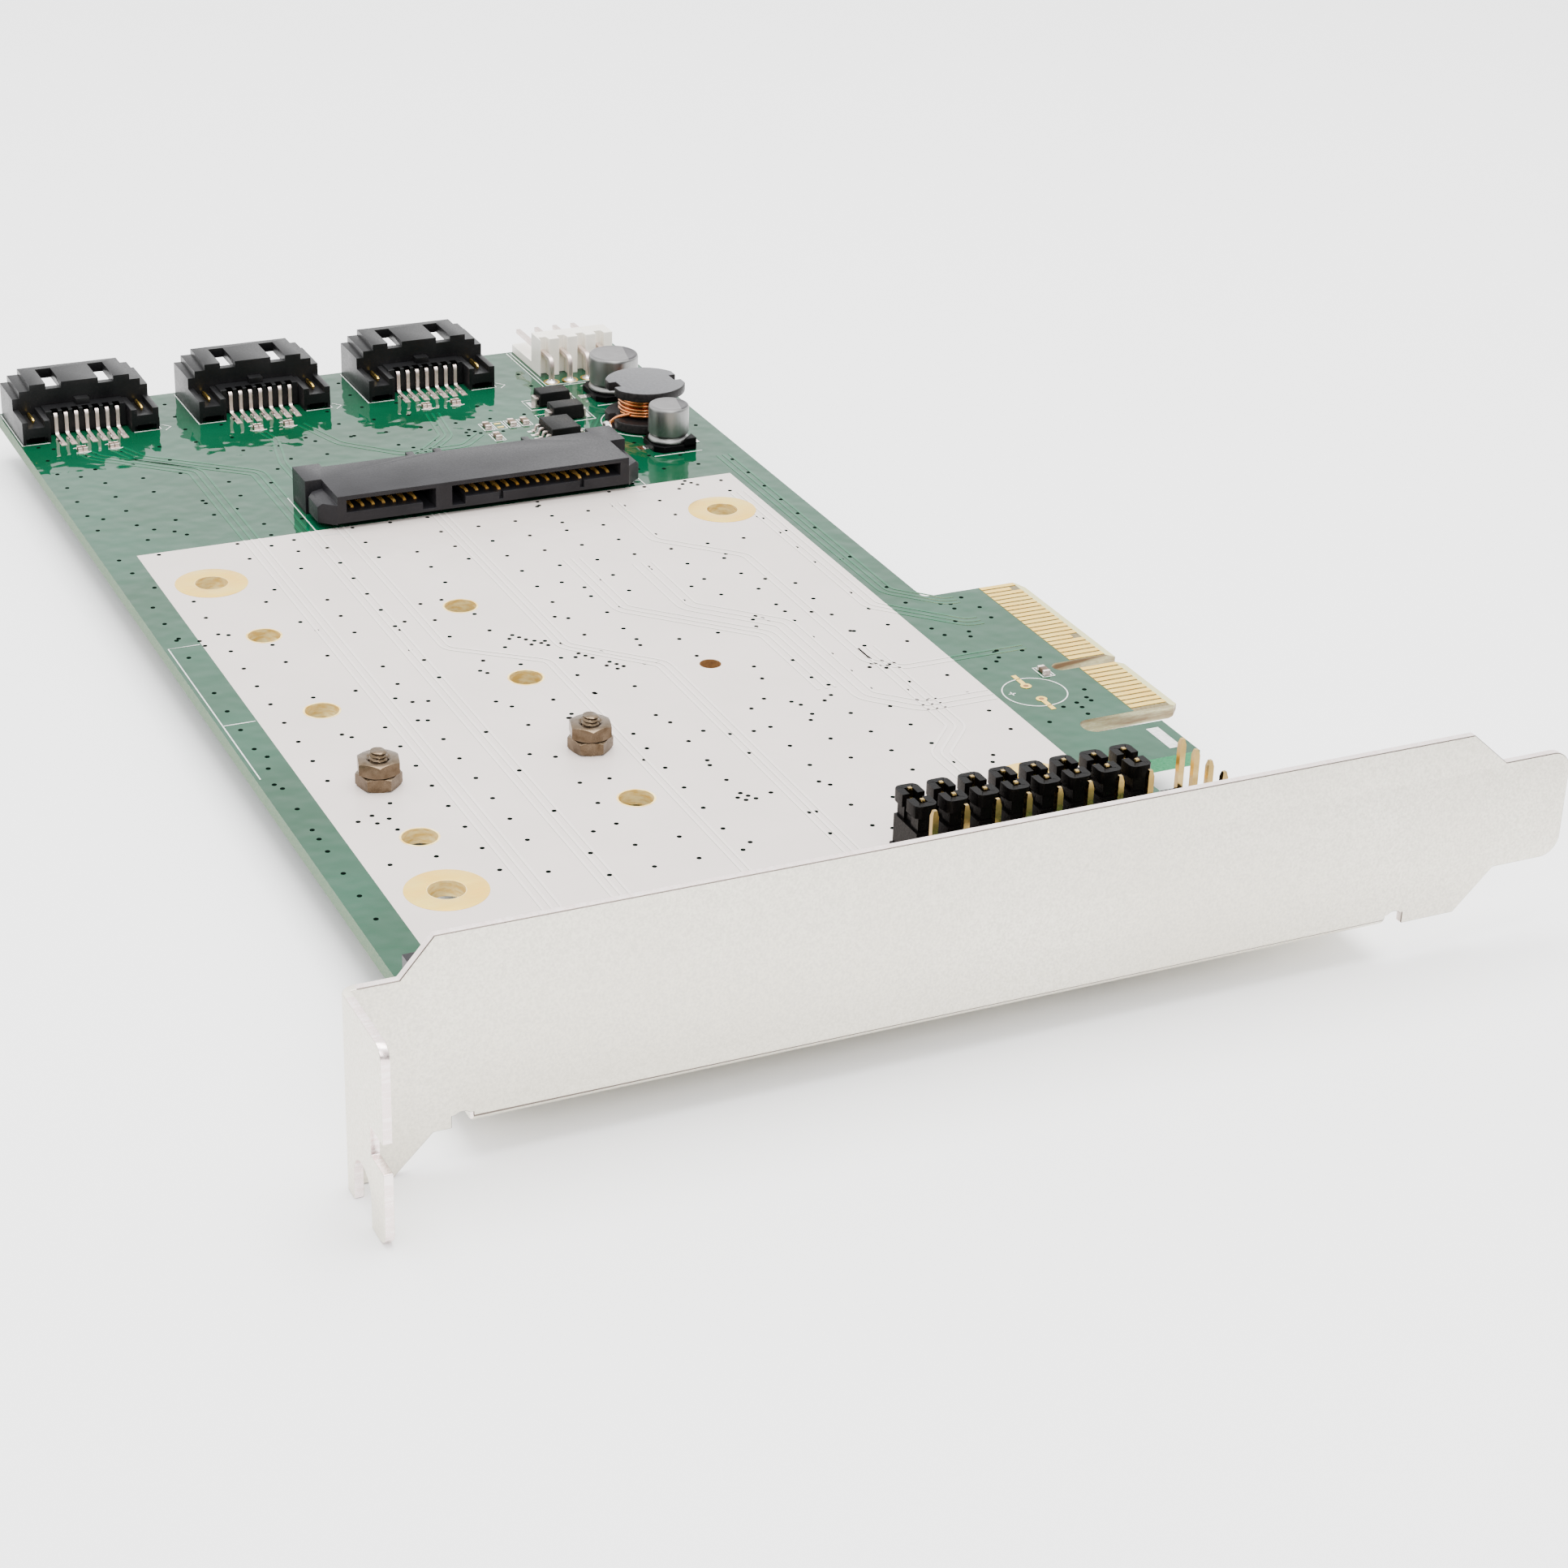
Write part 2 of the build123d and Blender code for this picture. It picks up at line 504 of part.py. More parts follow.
# Each cable port is a moulded shell open to the far edge, with a keyed tongue inside. Two arms
# reach back beside the seven gull-wing leads, and a hold-down blade stands in each arm.
for number, port_y in enumerate(PORT_YS, start=1):
    mouth_x = PORT_X + PORT_DEPTH
    body_x = mouth_x - PORT_BODY_DEPTH
    cavity_x = mouth_x - PORT_CAVITY_DEPTH
    half = PORT_W / 2
    lead_x = PORT_X + PORT_LEAD_X
    tongue_top = PORT_LEAD_Z - PORT_LEAD_T / 2
    blade_x = body_x - PORT_BLADE_L
    arm_ys = [port_y + side * (half - PORT_ARM_W / 2) for side in (-1, 1)]
    with BuildPart() as port_contacts:
        for i in range(PORT_CONTACTS):
            lead_y = port_y + (i - (PORT_CONTACTS - 1) / 2) * CONTACT_PITCH
            with BuildSketch(along(lead_y - PORT_LEAD_W / 2)):
                with BuildLine():
                    Polyline((-mouth_x + PORT_CONTACT_SET, PORT_LEAD_Z), (-lead_x, PORT_LEAD_Z),
                             (-lead_x, PORT_LEAD_T / 2), (-PORT_X - PORT_FOOT_X, PORT_LEAD_T / 2))
                trace(line_width=PORT_LEAD_T)
            extrude(amount=PORT_LEAD_W)
        for arm_y in arm_ys:
            with Locations((blade_x, arm_y, 0)):
                Box(PORT_BLADE_L, PORT_LEAD_T, PORT_ARM_H - PORT_LEAD_T,
                    align=(Align.MIN, Align.CENTER, Align.MIN))
    port_contacts.part.label = f"port_contacts_{number}"
    export_step(port_contacts.part, f"parts/port_contacts_{number}.step")

    with BuildPart() as port_housing:
        with BuildSketch(across(body_x, port_y)):
            with BuildLine():
                Polyline((-half, 0), (-half, PORT_STEP_H), (-half + PORT_STEP_IN, PORT_STEP_H),
                         (-half + PORT_STEP_IN, PORT_STEP2_H), (-half + PORT_STEP2_IN, PORT_STEP2_H),
                         (-half + PORT_STEP2_IN, PORT_TOP_H), (half - PORT_STEP2_IN, PORT_TOP_H),
                         (half - PORT_STEP2_IN, PORT_STEP2_H), (half - PORT_STEP_IN, PORT_STEP2_H),
                         (half - PORT_STEP_IN, PORT_STEP_H), (half, PORT_STEP_H), (half, 0),
                         close=True)
            make_face()
        extrude(amount=PORT_BODY_DEPTH)
        with BuildSketch(across(cavity_x, port_y)):
            with Locations((0, PORT_FLOOR)):
                Rectangle(PORT_W - 2 * PORT_STEP2_IN, PORT_STEP2_H - PORT_WALL / 2 - PORT_FLOOR,
                          align=(Align.CENTER, Align.MIN))
        extrude(amount=PORT_CAVITY_DEPTH, mode=Mode.SUBTRACT)
        with BuildSketch(across(cavity_x, port_y)):
            with Locations((0, tongue_top)):
                Rectangle(PORT_TONGUE_W, PORT_TONGUE_T, align=(Align.CENTER, Align.MAX))
            with Locations((PORT_TONGUE_W / 2, tongue_top)):
                Rectangle(PORT_KEY_W, PORT_TONGUE_T, align=(Align.MAX, Align.MIN))
        extrude(amount=PORT_CAVITY_DEPTH - PORT_WALL / 2)
        with Locations((body_x, port_y, PORT_LUG_Z)):
            Box(PORT_LUG_L, PORT_LUG_W, PORT_LUG_TOP - PORT_LUG_Z,
                align=(Align.MAX, Align.CENTER, Align.MIN))
        for arm_y in arm_ys:
            with Locations((PORT_X, arm_y, 0)):
                Box(body_x - PORT_X, PORT_ARM_W, PORT_ARM_H, align=(Align.MIN, Align.CENTER, Align.MIN))
            with Locations((PORT_X, arm_y, PORT_ARM_FLOOR)):
                Box(body_x - PORT_X, PORT_ARM_W - 2 * PORT_ARM_WALL, PORT_ARM_H - PORT_ARM_FLOOR,
                    align=(Align.MIN, Align.CENTER, Align.MIN), mode=Mode.SUBTRACT)
            with Locations((PORT_X, arm_y, 0)):
                Box(PORT_ARM_WALL, PORT_ARM_W - PORT_ARM_WALL, PORT_ARM_WALL,
                    align=(Align.MIN, Align.CENTER, Align.MIN), mode=Mode.SUBTRACT)
        for side in (-1, 1):
            with Locations((mouth_x - PORT_WINDOW_END, port_y + side * PORT_WINDOW_Y, PORT_STEP2_H)):
                Box(PORT_BODY_DEPTH, PORT_WINDOW_W, PORT_TOP_H - PORT_STEP2_H,
                    align=(Align.MAX, Align.CENTER, Align.MIN), mode=Mode.SUBTRACT)
                Box(PORT_CAVITY_DEPTH - PORT_WINDOW_END, PORT_WINDOW_W, PORT_WALL,
                    align=(Align.MAX, Align.CENTER, Align.MAX), mode=Mode.SUBTRACT)
        add(port_contacts.part, mode=Mode.SUBTRACT)
    port_housing.part.label = f"port_housing_{number}"
    export_step(port_housing.part, f"parts/port_housing_{number}.step")

# The drive socket's contacts lie on the floor of its mouth. They pass out through the rear wall
# and end in gull-wing feet on the board. Two power contacts reach further forward.
socket_rear = SOCKET_X + SOCKET_DEPTH
socket_low = SOCKET_Y - SOCKET_W / 2
blade_ys = [POWER_CONTACT_Y + i * CONTACT_PITCH for i in range(POWER_CONTACTS)]
first_signal = blade_ys[-1] + GROUP_GAP
blade_ys += [first_signal + i * CONTACT_PITCH for i in range(SIGNAL_CONTACTS)]
with BuildPart() as drive_socket_contacts:
    for i, y in enumerate(blade_ys):
        tip_x = SOCKET_X + (BLADE_LONG_SET if i in SOCKET_SLITS else BLADE_SET)
        blade_z = SOCKET_MOUTH_Z + BLADE_T / 2
        with BuildSketch(along(y - BLADE_W / 2)):
            with BuildLine():
                Polyline((-tip_x, blade_z), (-socket_rear - BLADE_OUT, blade_z),
                         (-socket_rear - BLADE_OUT, BLADE_T / 2),
                         (-socket_rear - BLADE_OUT - BLADE_FOOT, BLADE_T / 2))
            trace(line_width=BLADE_T)
        extrude(amount=BLADE_W)
drive_socket_contacts.part.label = "drive_socket_contacts"
export_step(drive_socket_contacts.part, "parts/drive_socket_contacts.step")

# The drive socket is one black moulding. Its nose stands clear of the board, with two keyed
# windows for the drive's contacts, a peg at each side and an ear on the board at each end.
with BuildPart() as drive_socket_housing:
    with BuildSketch(along(socket_low)):
        with BuildLine():
            Polyline((-SOCKET_X, SOCKET_GAP), (-SOCKET_X, SOCKET_H), (-socket_rear, SOCKET_H),
                     (-socket_rear, 0), (-SOCKET_X - SOCKET_NOSE, 0),
                     (-SOCKET_X - SOCKET_NOSE, SOCKET_GAP), close=True)
        make_face()
    extrude(amount=SOCKET_W)
    for side in (-1, 1):
        nose_y = SOCKET_Y + side * SOCKET_W / 2
        ear_y = nose_y + side * (SOCKET_EAR_W - SOCKET_EAR_IN) / 2
        with Locations((SOCKET_X + SOCKET_EAR_SET, ear_y, 0)):
            Box(SOCKET_EAR_DEPTH, SOCKET_EAR_W + SOCKET_EAR_IN, SOCKET_H,
                align=(Align.MIN, Align.CENTER, Align.MIN))
        with BuildSketch(Plane.XY.offset(PEG_Z)):
            with BuildLine():
                Polyline((SOCKET_X, nose_y), (SOCKET_X + PEG_POINT, nose_y + side * PEG_W),
                         (SOCKET_X + PEG_L - PEG_POINT / 2, nose_y + side * PEG_W),
                         (SOCKET_X + PEG_L, nose_y), close=True)
            make_face()
        peg = extrude(amount=PEG_H)
        peg_rim = peg.edges().filter_by(Axis.X).sort_by_distance((SOCKET_X, nose_y + side * PEG_W, SOCKET_H))
        chamfer(peg_rim[0], PEG_CHAMFER)
    with BuildSketch(across(SOCKET_X)):
        bridge_y = SOCKET_Y + SOCKET_BRIDGE_Y
        windows = ((socket_low + SOCKET_SIDE, bridge_y - SOCKET_BRIDGE_W / 2, Align.MAX),
                   (bridge_y + SOCKET_BRIDGE_W / 2, socket_low + SOCKET_W - SOCKET_SIDE, Align.MIN))
        for y0, y1, key_side in windows:
            with Locations((y0, SOCKET_MOUTH_Z)):
                Rectangle(y1 - y0, SOCKET_MOUTH_TOP - SOCKET_MOUTH_Z, align=CORNER)
            with Locations((y1 if key_side == Align.MAX else y0, SOCKET_KEY_Z)):
                Rectangle(SOCKET_KEY_W, SOCKET_MOUTH_Z - SOCKET_KEY_Z, align=(key_side, Align.MIN))
    extrude(amount=SOCKET_MOUTH_DEPTH, mode=Mode.SUBTRACT)
    for i in SOCKET_SLITS:
        with Locations((SOCKET_X, blade_ys[i], SOCKET_MOUTH_Z)):
            Box(BLADE_LONG_SET, SOCKET_SLIT_W, SOCKET_SLIT_DEPTH,
                align=(Align.MIN, Align.CENTER, Align.MAX), mode=Mode.SUBTRACT)
    for y in SOCKET_RIBS:
        with Locations((socket_rear, SOCKET_Y + y, BLADE_T)):
            Box(SOCKET_RIB_L, SOCKET_RIB_W, SOCKET_H - BLADE_T,
                align=(Align.MIN, Align.CENTER, Align.MIN))
    add(drive_socket_contacts.part, mode=Mode.SUBTRACT)
drive_socket_housing.part.label = "drive_socket_housing"
export_step(drive_socket_housing.part, "parts/drive_socket_housing.step")


# Eight moulded headers of three pins stand side by side, with a four-pin header beside them.
for number, y in enumerate(JUMPER_YS, start=1):
    with BuildPart() as jumper_base:
        with BuildSketch():
            with Locations((JUMPER_X, y)):
                Rectangle(JUMPER_PINS * PITCH, HEADER_W)
            with Locations(*[(x, y) for x in JUMPER_XS]):
                Rectangle(PIN_W, PIN_W, mode=Mode.SUBTRACT)
        extrude(amount=HEADER_H)
    jumper_base.part.label = f"jumper_base_{number}"
    export_step(jumper_base.part, f"parts/jumper_base_{number}.step")

with BuildPart() as spare_header_base:
    with BuildSketch():
        with Locations(SPARE_HEADER):
            Rectangle(SPARE_PINS * PITCH, HEADER_W)
        with Locations(*SPARE_SITES):
            Rectangle(PIN_W, PIN_W, mode=Mode.SUBTRACT)
    extrude(amount=HEADER_H)
spare_header_base.part.label = "spare_header_base"
export_step(spare_header_base.part, "parts/spare_header_base.step")

# Square pins run from below the board to their pointed tips.
pin_low_z = -BOARD_T - PIN_TAIL
for pin_name, sites in (("jumper_pins", PIN_SITES), ("spare_header_pins", SPARE_SITES)):
    with BuildPart() as header_pins:
        with BuildSketch(Plane.XY.offset(pin_low_z)):
            with Locations(*sites):
                Rectangle(PIN_W, PIN_W)
        extrude(amount=PIN_TIP_Z - pin_low_z)
        chamfer(header_pins.edges().group_by(Axis.Z)[-1], PIN_POINT)
    header_pins.part.label = pin_name
    export_step(header_pins.part, f"parts/{pin_name}.step")

# A folded spring clip grips two pins inside each cap. Its web spans the space between the pins.
cap_x = (JUMPER_XS[-2] + JUMPER_XS[-1]) / 2
clip_l = CAP_L - 2 * CAP_WALL
clip_w = PIN_W + 2 * CLIP_T
with BuildPart() as jumper_clips:
    with BuildSketch(Plane.XY.offset(HEADER_H + CLIP_Z)):
        with Locations(*[(cap_x, y) for y in JUMPER_YS]):
            Rectangle(clip_l, clip_w)
            Rectangle(clip_l, PIN_W, mode=Mode.SUBTRACT)
    extrude(amount=CLIP_H)
    with BuildSketch(Plane.XY.offset(HEADER_H + CLIP_Z + CLIP_H)):
        with Locations(*[(cap_x, y) for y in JUMPER_YS]):
            Rectangle(PITCH - PIN_W, PIN_W)
    extrude(amount=-CLIP_T)
jumper_clips.part.label = "jumper_clips"
export_step(jumper_clips.part, "parts/jumper_clips.step")

# Each jumper cap is a moulded block on one header. A channel holds the clip, and the top is
# split into two humps with a finger notch at each side.
for number, y in enumerate(JUMPER_YS, start=1):
    with BuildPart() as jumper_cap:
        with BuildSketch(Plane.XY.offset(HEADER_H)):
            with Locations((cap_x, y)):
                Rectangle(CAP_L, CAP_W)
        extrude(amount=CAP_LOW_H)
        with BuildSketch(Plane.XY.offset(HEADER_H + CAP_LOW_H)):
            hump_l = (CAP_L - CAP_GAP) / 2 - CAP_INSET
            with Locations(*[(cap_x + side * (CAP_GAP + hump_l) / 2, y) for side in (-1, 1)]):
                Rectangle(hump_l, CAP_W - 2 * CAP_INSET)
        extrude(amount=CAP_H - CAP_LOW_H)
        with Locations(*[Location((cap_x, y + side * CAP_W / 2, HEADER_H + CAP_NOTCH_Z))
                         for side in (-1, 1)]):
            Box(CAP_GAP, 2 * CAP_NOTCH_DEPTH, CAP_H, align=LOW, mode=Mode.SUBTRACT)
        with BuildSketch(Plane.XY.offset(HEADER_H)):
            with Locations((cap_x, y)):
                Rectangle(clip_l, clip_w)
        extrude(amount=CAP_H, mode=Mode.SUBTRACT)
    jumper_cap.part.label = f"jumper_cap_{number}"
    export_step(jumper_cap.part, f"parts/jumper_cap_{number}.step")

# The power header is a moulded wall with a groove for each pin and a plate under the plug.
power_end = POWER_X + POWER_WALL_T
power_turn = power_end + POWER_PIN_REACH
with BuildPart() as power_header_pins:
    for y in POWER_YS:
        with BuildSketch(along(y - PIN_W / 2)):
            with BuildLine():
                Polyline((-power_turn, POWER_PIN_Z), (-POWER_TAIL_X, POWER_PIN_Z),
                         (-POWER_TAIL_X, -BOARD_T - PIN_TAIL))
            trace(line_width=PIN_W)
        extrude(amount=PIN_W)
power_header_pins.part.label = "power_header_pins"
export_step(power_header_pins.part, "parts/power_header_pins.step")

with BuildPart() as power_header_housing:
    with Locations((POWER_X, POWER_Y, 0)):
        Box(POWER_WALL_T, POWER_W, POWER_H, align=(Align.MIN, Align.CENTER, Align.MIN))
    with Locations((power_end, POWER_Y, 0)):
        Box(POWER_PLATE_L, POWER_W, POWER_PLATE_T, align=(Align.MIN, Align.CENTER, Align.MIN))
    for y in POWER_YS:
        with Locations((POWER_X, y, 0)):
            Box(POWER_GROOVE_DEPTH, POWER_GROOVE_W, POWER_H - POWER_GROOVE_DEPTH / 2,
                align=(Align.MIN, Align.CENTER, Align.MIN), mode=Mode.SUBTRACT)
    add(power_header_pins.part, mode=Mode.SUBTRACT)
power_header_housing.part.label = "power_header_housing"
export_step(power_header_housing.part, "parts/power_header_housing.step")

# Each can capacitor stands in a moulded base with two cut corners. Two flat leads come out of
# the base's low face onto the board.
for name, (can_x, can_y), can_r in (("large", LARGE_CAN, LARGE_CAN_R), ("small", SMALL_CAN, SMALL_CAN_R)):
    base_w = 2 * can_r + 2 * CAN_BASE_MARGIN
    crimp_r = can_r - CAN_CRIMP_DEPTH
    with BuildPart() as can_leads:
        for side in (-1, 1):
            with Locations((can_x, can_y + side * (base_w / 2 + CAN_LEAD_OUT), 0)):
                Box(CAN_LEAD_W, can_r, CAN_LEAD_T,
                    align=(Align.CENTER, Align.MAX if side > 0 else Align.MIN, Align.MIN))
    can_leads.part.label = f"{name}_can_leads"
    export_step(can_leads.part, f"parts/{name}_can_leads.step")

    with BuildPart() as can:
        with BuildSketch(along(can_y, can_x)):
            with BuildLine():
                Polyline((0, CAN_BASE_T), (can_r, CAN_BASE_T), (can_r, CAN_CRIMP_Z - CAN_CRIMP_DEPTH),
                         (crimp_r, CAN_CRIMP_Z), (can_r, CAN_CRIMP_Z + CAN_CRIMP_DEPTH),
                         (can_r, CAN_H - CAN_EDGE_R), (can_r - CAN_EDGE_R, CAN_H), (0, CAN_H),
                         close=True)
            make_face()
        revolve(axis=Axis((can_x, can_y, 0), (0, 0, 1)))
    can.part.label = f"{name}_can"
    export_step(can.part, f"parts/{name}_can.step")

    with BuildPart() as can_base:
        with BuildSketch():
            with Locations((can_x, can_y)):
                base = Rectangle(base_w, base_w)
            chamfer(base.vertices().group_by(Axis.X)[-1], CAN_CORNER)
        extrude(amount=CAN_POST_H)
        with BuildSketch(Plane.XY.offset(CAN_BASE_T)):
            with Locations((can_x, can_y)):
                RegularPolygon(can_r + CAN_CLEAR, SMALL_SIDES, major_radius=False)
        extrude(amount=CAN_POST_H, mode=Mode.SUBTRACT)
        add(can_leads.part, mode=Mode.SUBTRACT)
    can_base.part.label = f"{name}_can_base"
    export_step(can_base.part, f"parts/{name}_can_base.step")

# The choke is a ferrite drum with two notches in its top flange, wound with wire and set on two
# soldered terminals.
with BuildPart() as choke_terminals:
    for side in (-1, 1):
        with Locations((CHOKE[0], CHOKE[1] + side * (CHOKE_W / 2 + CHOKE_PAD_OUT), 0)):
            Box(CHOKE_PAD_W, CHOKE_PAD_IN + CHOKE_PAD_OUT, CHOKE_FOOT,
                align=(Align.CENTER, Align.MAX if side > 0 else Align.MIN, Align.MIN))
choke_terminals.part.label = "choke_terminals"
export_step(choke_terminals.part, "parts/choke_terminals.step")

with BuildPart() as choke_core:
    for z in (CHOKE_FOOT, CHOKE_H - CHOKE_FLANGE):
        with BuildSketch(Plane.XY.offset(z)):
            with Locations(CHOKE):
                Circle(CHOKE_L / 2)
                Rectangle(CHOKE_L, CHOKE_W, mode=Mode.INTERSECT)
                for side in (-1, 1):
                    with Locations((0, side * CHOKE_W / 2)):
                        Rectangle(CHOKE_NOTCH_W, 2 * CHOKE_NOTCH_DEPTH, mode=Mode.SUBTRACT)
        extrude(amount=CHOKE_FLANGE)
    with BuildSketch(Plane.XY.offset(CHOKE_FOOT)):
        with Locations(CHOKE):
            RegularPolygon(CHOKE_POST_R, SMALL_SIDES)
    extrude(amount=CHOKE_H - CHOKE_FOOT)
choke_core.part.label = "choke_core"
export_step(choke_core.part, "parts/choke_core.step")

with BuildPart() as choke_winding:
    with BuildSketch(Plane.XY.offset(CHOKE_FOOT + CHOKE_FLANGE)):
        with Locations(CHOKE):
            Circle(CHOKE_COIL_R)
            RegularPolygon(CHOKE_POST_R, SMALL_SIDES, mode=Mode.SUBTRACT)
    extrude(amount=CHOKE_H - CHOKE_FOOT - 2 * CHOKE_FLANGE)
choke_winding.part.label = "choke_winding"
export_step(choke_winding.part, "parts/choke_winding.step")

# Two moulded diodes sit on the bent-under feet of their leads.
with BuildPart() as diode_leads:
    for x, y in DIODES:
        for side in (-1, 1):
            end = DIODE_L / 2
            out = end + DIODE_LEAD_OUT
            with BuildSketch(Plane(origin=(x - DIODE_LEAD_W / 2, y, 0), x_dir=(0, side, 0),
                                   z_dir=(side, 0, 0))):
                with BuildLine():
                    Polyline((end - DIODE_LEAD_IN, DIODE_LEAD_Z), (out, DIODE_LEAD_Z),
                             (out, DIODE_FOOT / 2), (end - DIODE_LEAD_IN, DIODE_FOOT / 2))
                trace(line_width=DIODE_FOOT)
            extrude(amount=side * DIODE_LEAD_W)
diode_leads.part.label = "diode_leads"
export_step(diode_leads.part, "parts/diode_leads.step")

with BuildPart() as diode_bodies:
    with BuildSketch(Plane.XY.offset(DIODE_FOOT)):
        with Locations(*DIODES):
            Rectangle(DIODE_W, DIODE_L)
    extrude(amount=DIODE_H - DIODE_FOOT, taper=MOULD_DRAFT)
    add(diode_leads.part, mode=Mode.SUBTRACT)
diode_bodies.part.label = "diode_bodies"
export_step(diode_bodies.part, "parts/diode_bodies.step")

# The regulator chip is a moulded body with four gull-wing leads along each long side.
with BuildPart() as regulator_leads:
    for i in range(CHIP_LEADS):
        lead_x = CHIP[0] + (i - (CHIP_LEADS - 1) / 2) * CONTACT_PITCH
        for side in (-1, 1):
            wall = CHIP_W / 2
            with BuildSketch(Plane(origin=(lead_x - CHIP_LEAD_W / 2, CHIP[1], 0), x_dir=(0, side, 0),
                                   z_dir=(side, 0, 0))):
                with BuildLine():
                    Polyline((wall - CHIP_LEAD_IN, CHIP_LEAD_Z), (wall + CHIP_LEAD_KNEE, CHIP_LEAD_Z),
                             (wall + CHIP_LEAD_KNEE + CHIP_LEAD_T / 2, CHIP_LEAD_T / 2),
                             (wall + CHIP_LEAD_OUT, CHIP_LEAD_T / 2))
                trace(line_width=CHIP_LEAD_T)
            extrude(amount=side * CHIP_LEAD_W)
regulator_leads.part.label = "regulator_leads"
export_step(regulator_leads.part, "parts/regulator_leads.step")

with BuildPart() as regulator_body:
    with BuildSketch(Plane.XY.offset(CHIP_FOOT)):
        with Locations(CHIP):
            Rectangle(CHIP_L, CHIP_W)
    extrude(amount=CHIP_H, taper=MOULD_DRAFT)
    add(regulator_leads.part, mode=Mode.SUBTRACT)
regulator_body.part.label = "regulator_body"
export_step(regulator_body.part, "parts/regulator_body.step")

# Small chip parts lie on the board: a ceramic body between two metal ends.
with BuildPart() as chip_bodies:
    with Locations(*[(x, y, 0) for x, y in SMALL_CHIP_SITES]):
        Box(SMALL_CHIP_L - 2 * SMALL_CHIP_END, SMALL_CHIP_W, SMALL_CHIP_H, align=LOW)
chip_bodies.part.label = "chip_bodies"
export_step(chip_bodies.part, "parts/chip_bodies.step")

with BuildPart() as chip_ends:
    end_reach = (SMALL_CHIP_L - SMALL_CHIP_END) / 2
    with Locations(*[(x + side * end_reach, y, 0) for x, y in SMALL_CHIP_SITES for side in (-1, 1)]):
        Box(SMALL_CHIP_END, SMALL_CHIP_W, SMALL_CHIP_H, align=LOW)
chip_ends.part.label = "chip_ends"
export_step(chip_ends.part, "parts/chip_ends.step")

# Each storage card socket is a low moulding with a keyed mouth.
socket_front = CARD_DATUM_X + CARD_SOCKET_BITE
for number, y in enumerate(CARD_ROWS_Y, start=1):
    with BuildPart() as card_socket:
        with Locations((socket_front, y, 0)):
            Box(CARD_SOCKET_DEPTH, CARD_SOCKET_W, CARD_SOCKET_H,
                align=(Align.MAX, Align.CENTER, Align.MIN))
        with Locations((socket_front, y, CARD_BOARD_Z)):
            Box(CARD_MOUTH_DEPTH, CARD_MOUTH_W, CARD_MOUTH_H,
                align=(Align.MAX, Align.CENTER, Align.MIN), mode=Mode.SUBTRACT)
        with Locations((socket_front, y + CARD_KEY_Y, CARD_BOARD_Z)):
            Box(CARD_MOUTH_DEPTH, CARD_KEY_W, CARD_MOUTH_H, align=(Align.MAX, Align.CENTER, Align.MIN))
    card_socket.part.label = f"card_socket_{number}"
    export_step(card_socket.part, f"parts/card_socket_{number}.step")

# Two hexagon nuts are stacked on a screw at one hole of each row. A card rests on the lower nut.
for level, turn in enumerate(NUT_TURNS):
    nut_name = ("lower_nuts", "upper_nuts")[level]
    with BuildPart() as nuts:
        with BuildSketch(Plane.XY.offset(level * NUT_T)):
            with Locations(*STUD_SITES):
                RegularPolygon(NUT_ACROSS / 2, 6, major_radius=False, rotation=turn)
            with Locations(*STUD_SITES):
                RegularPolygon(STUD_R, SMALL_SIDES, mode=Mode.SUBTRACT)
        extrude(amount=NUT_T)
        bore_edges = [e for e in nuts.edges().group_by(Axis.Z)[-1] if e.length < STUD_R]
        chamfer(bore_edges, NUT_COUNTERSINK)
    nuts.part.label = nut_name
    export_step(nuts.part, f"parts/{nut_name}.step")

with BuildPart() as nut_screws:
    with BuildSketch(Plane.XY.offset(-BOARD_T - STUD_HEAD_H)):
        with Locations(*STUD_SITES):
            RegularPolygon(STUD_HEAD_R, SMALL_SIDES)
    extrude(amount=STUD_HEAD_H)
    chamfer(nut_screws.edges().group_by(Axis.Z)[0], STUD_HEAD_H * 0.3)
    with BuildSketch(Plane.XY.offset(-BOARD_T)):
        with Locations(*STUD_SITES):
            RegularPolygon(STUD_R, SMALL_SIDES)
    extrude(amount=BOARD_T + 2 * NUT_T + STUD_OUT)
    chamfer(nut_screws.edges().group_by(Axis.Z)[-1], STUD_R * 0.15)
nut_screws.part.label = "nut_screws"
export_step(nut_screws.part, "parts/nut_screws.step")
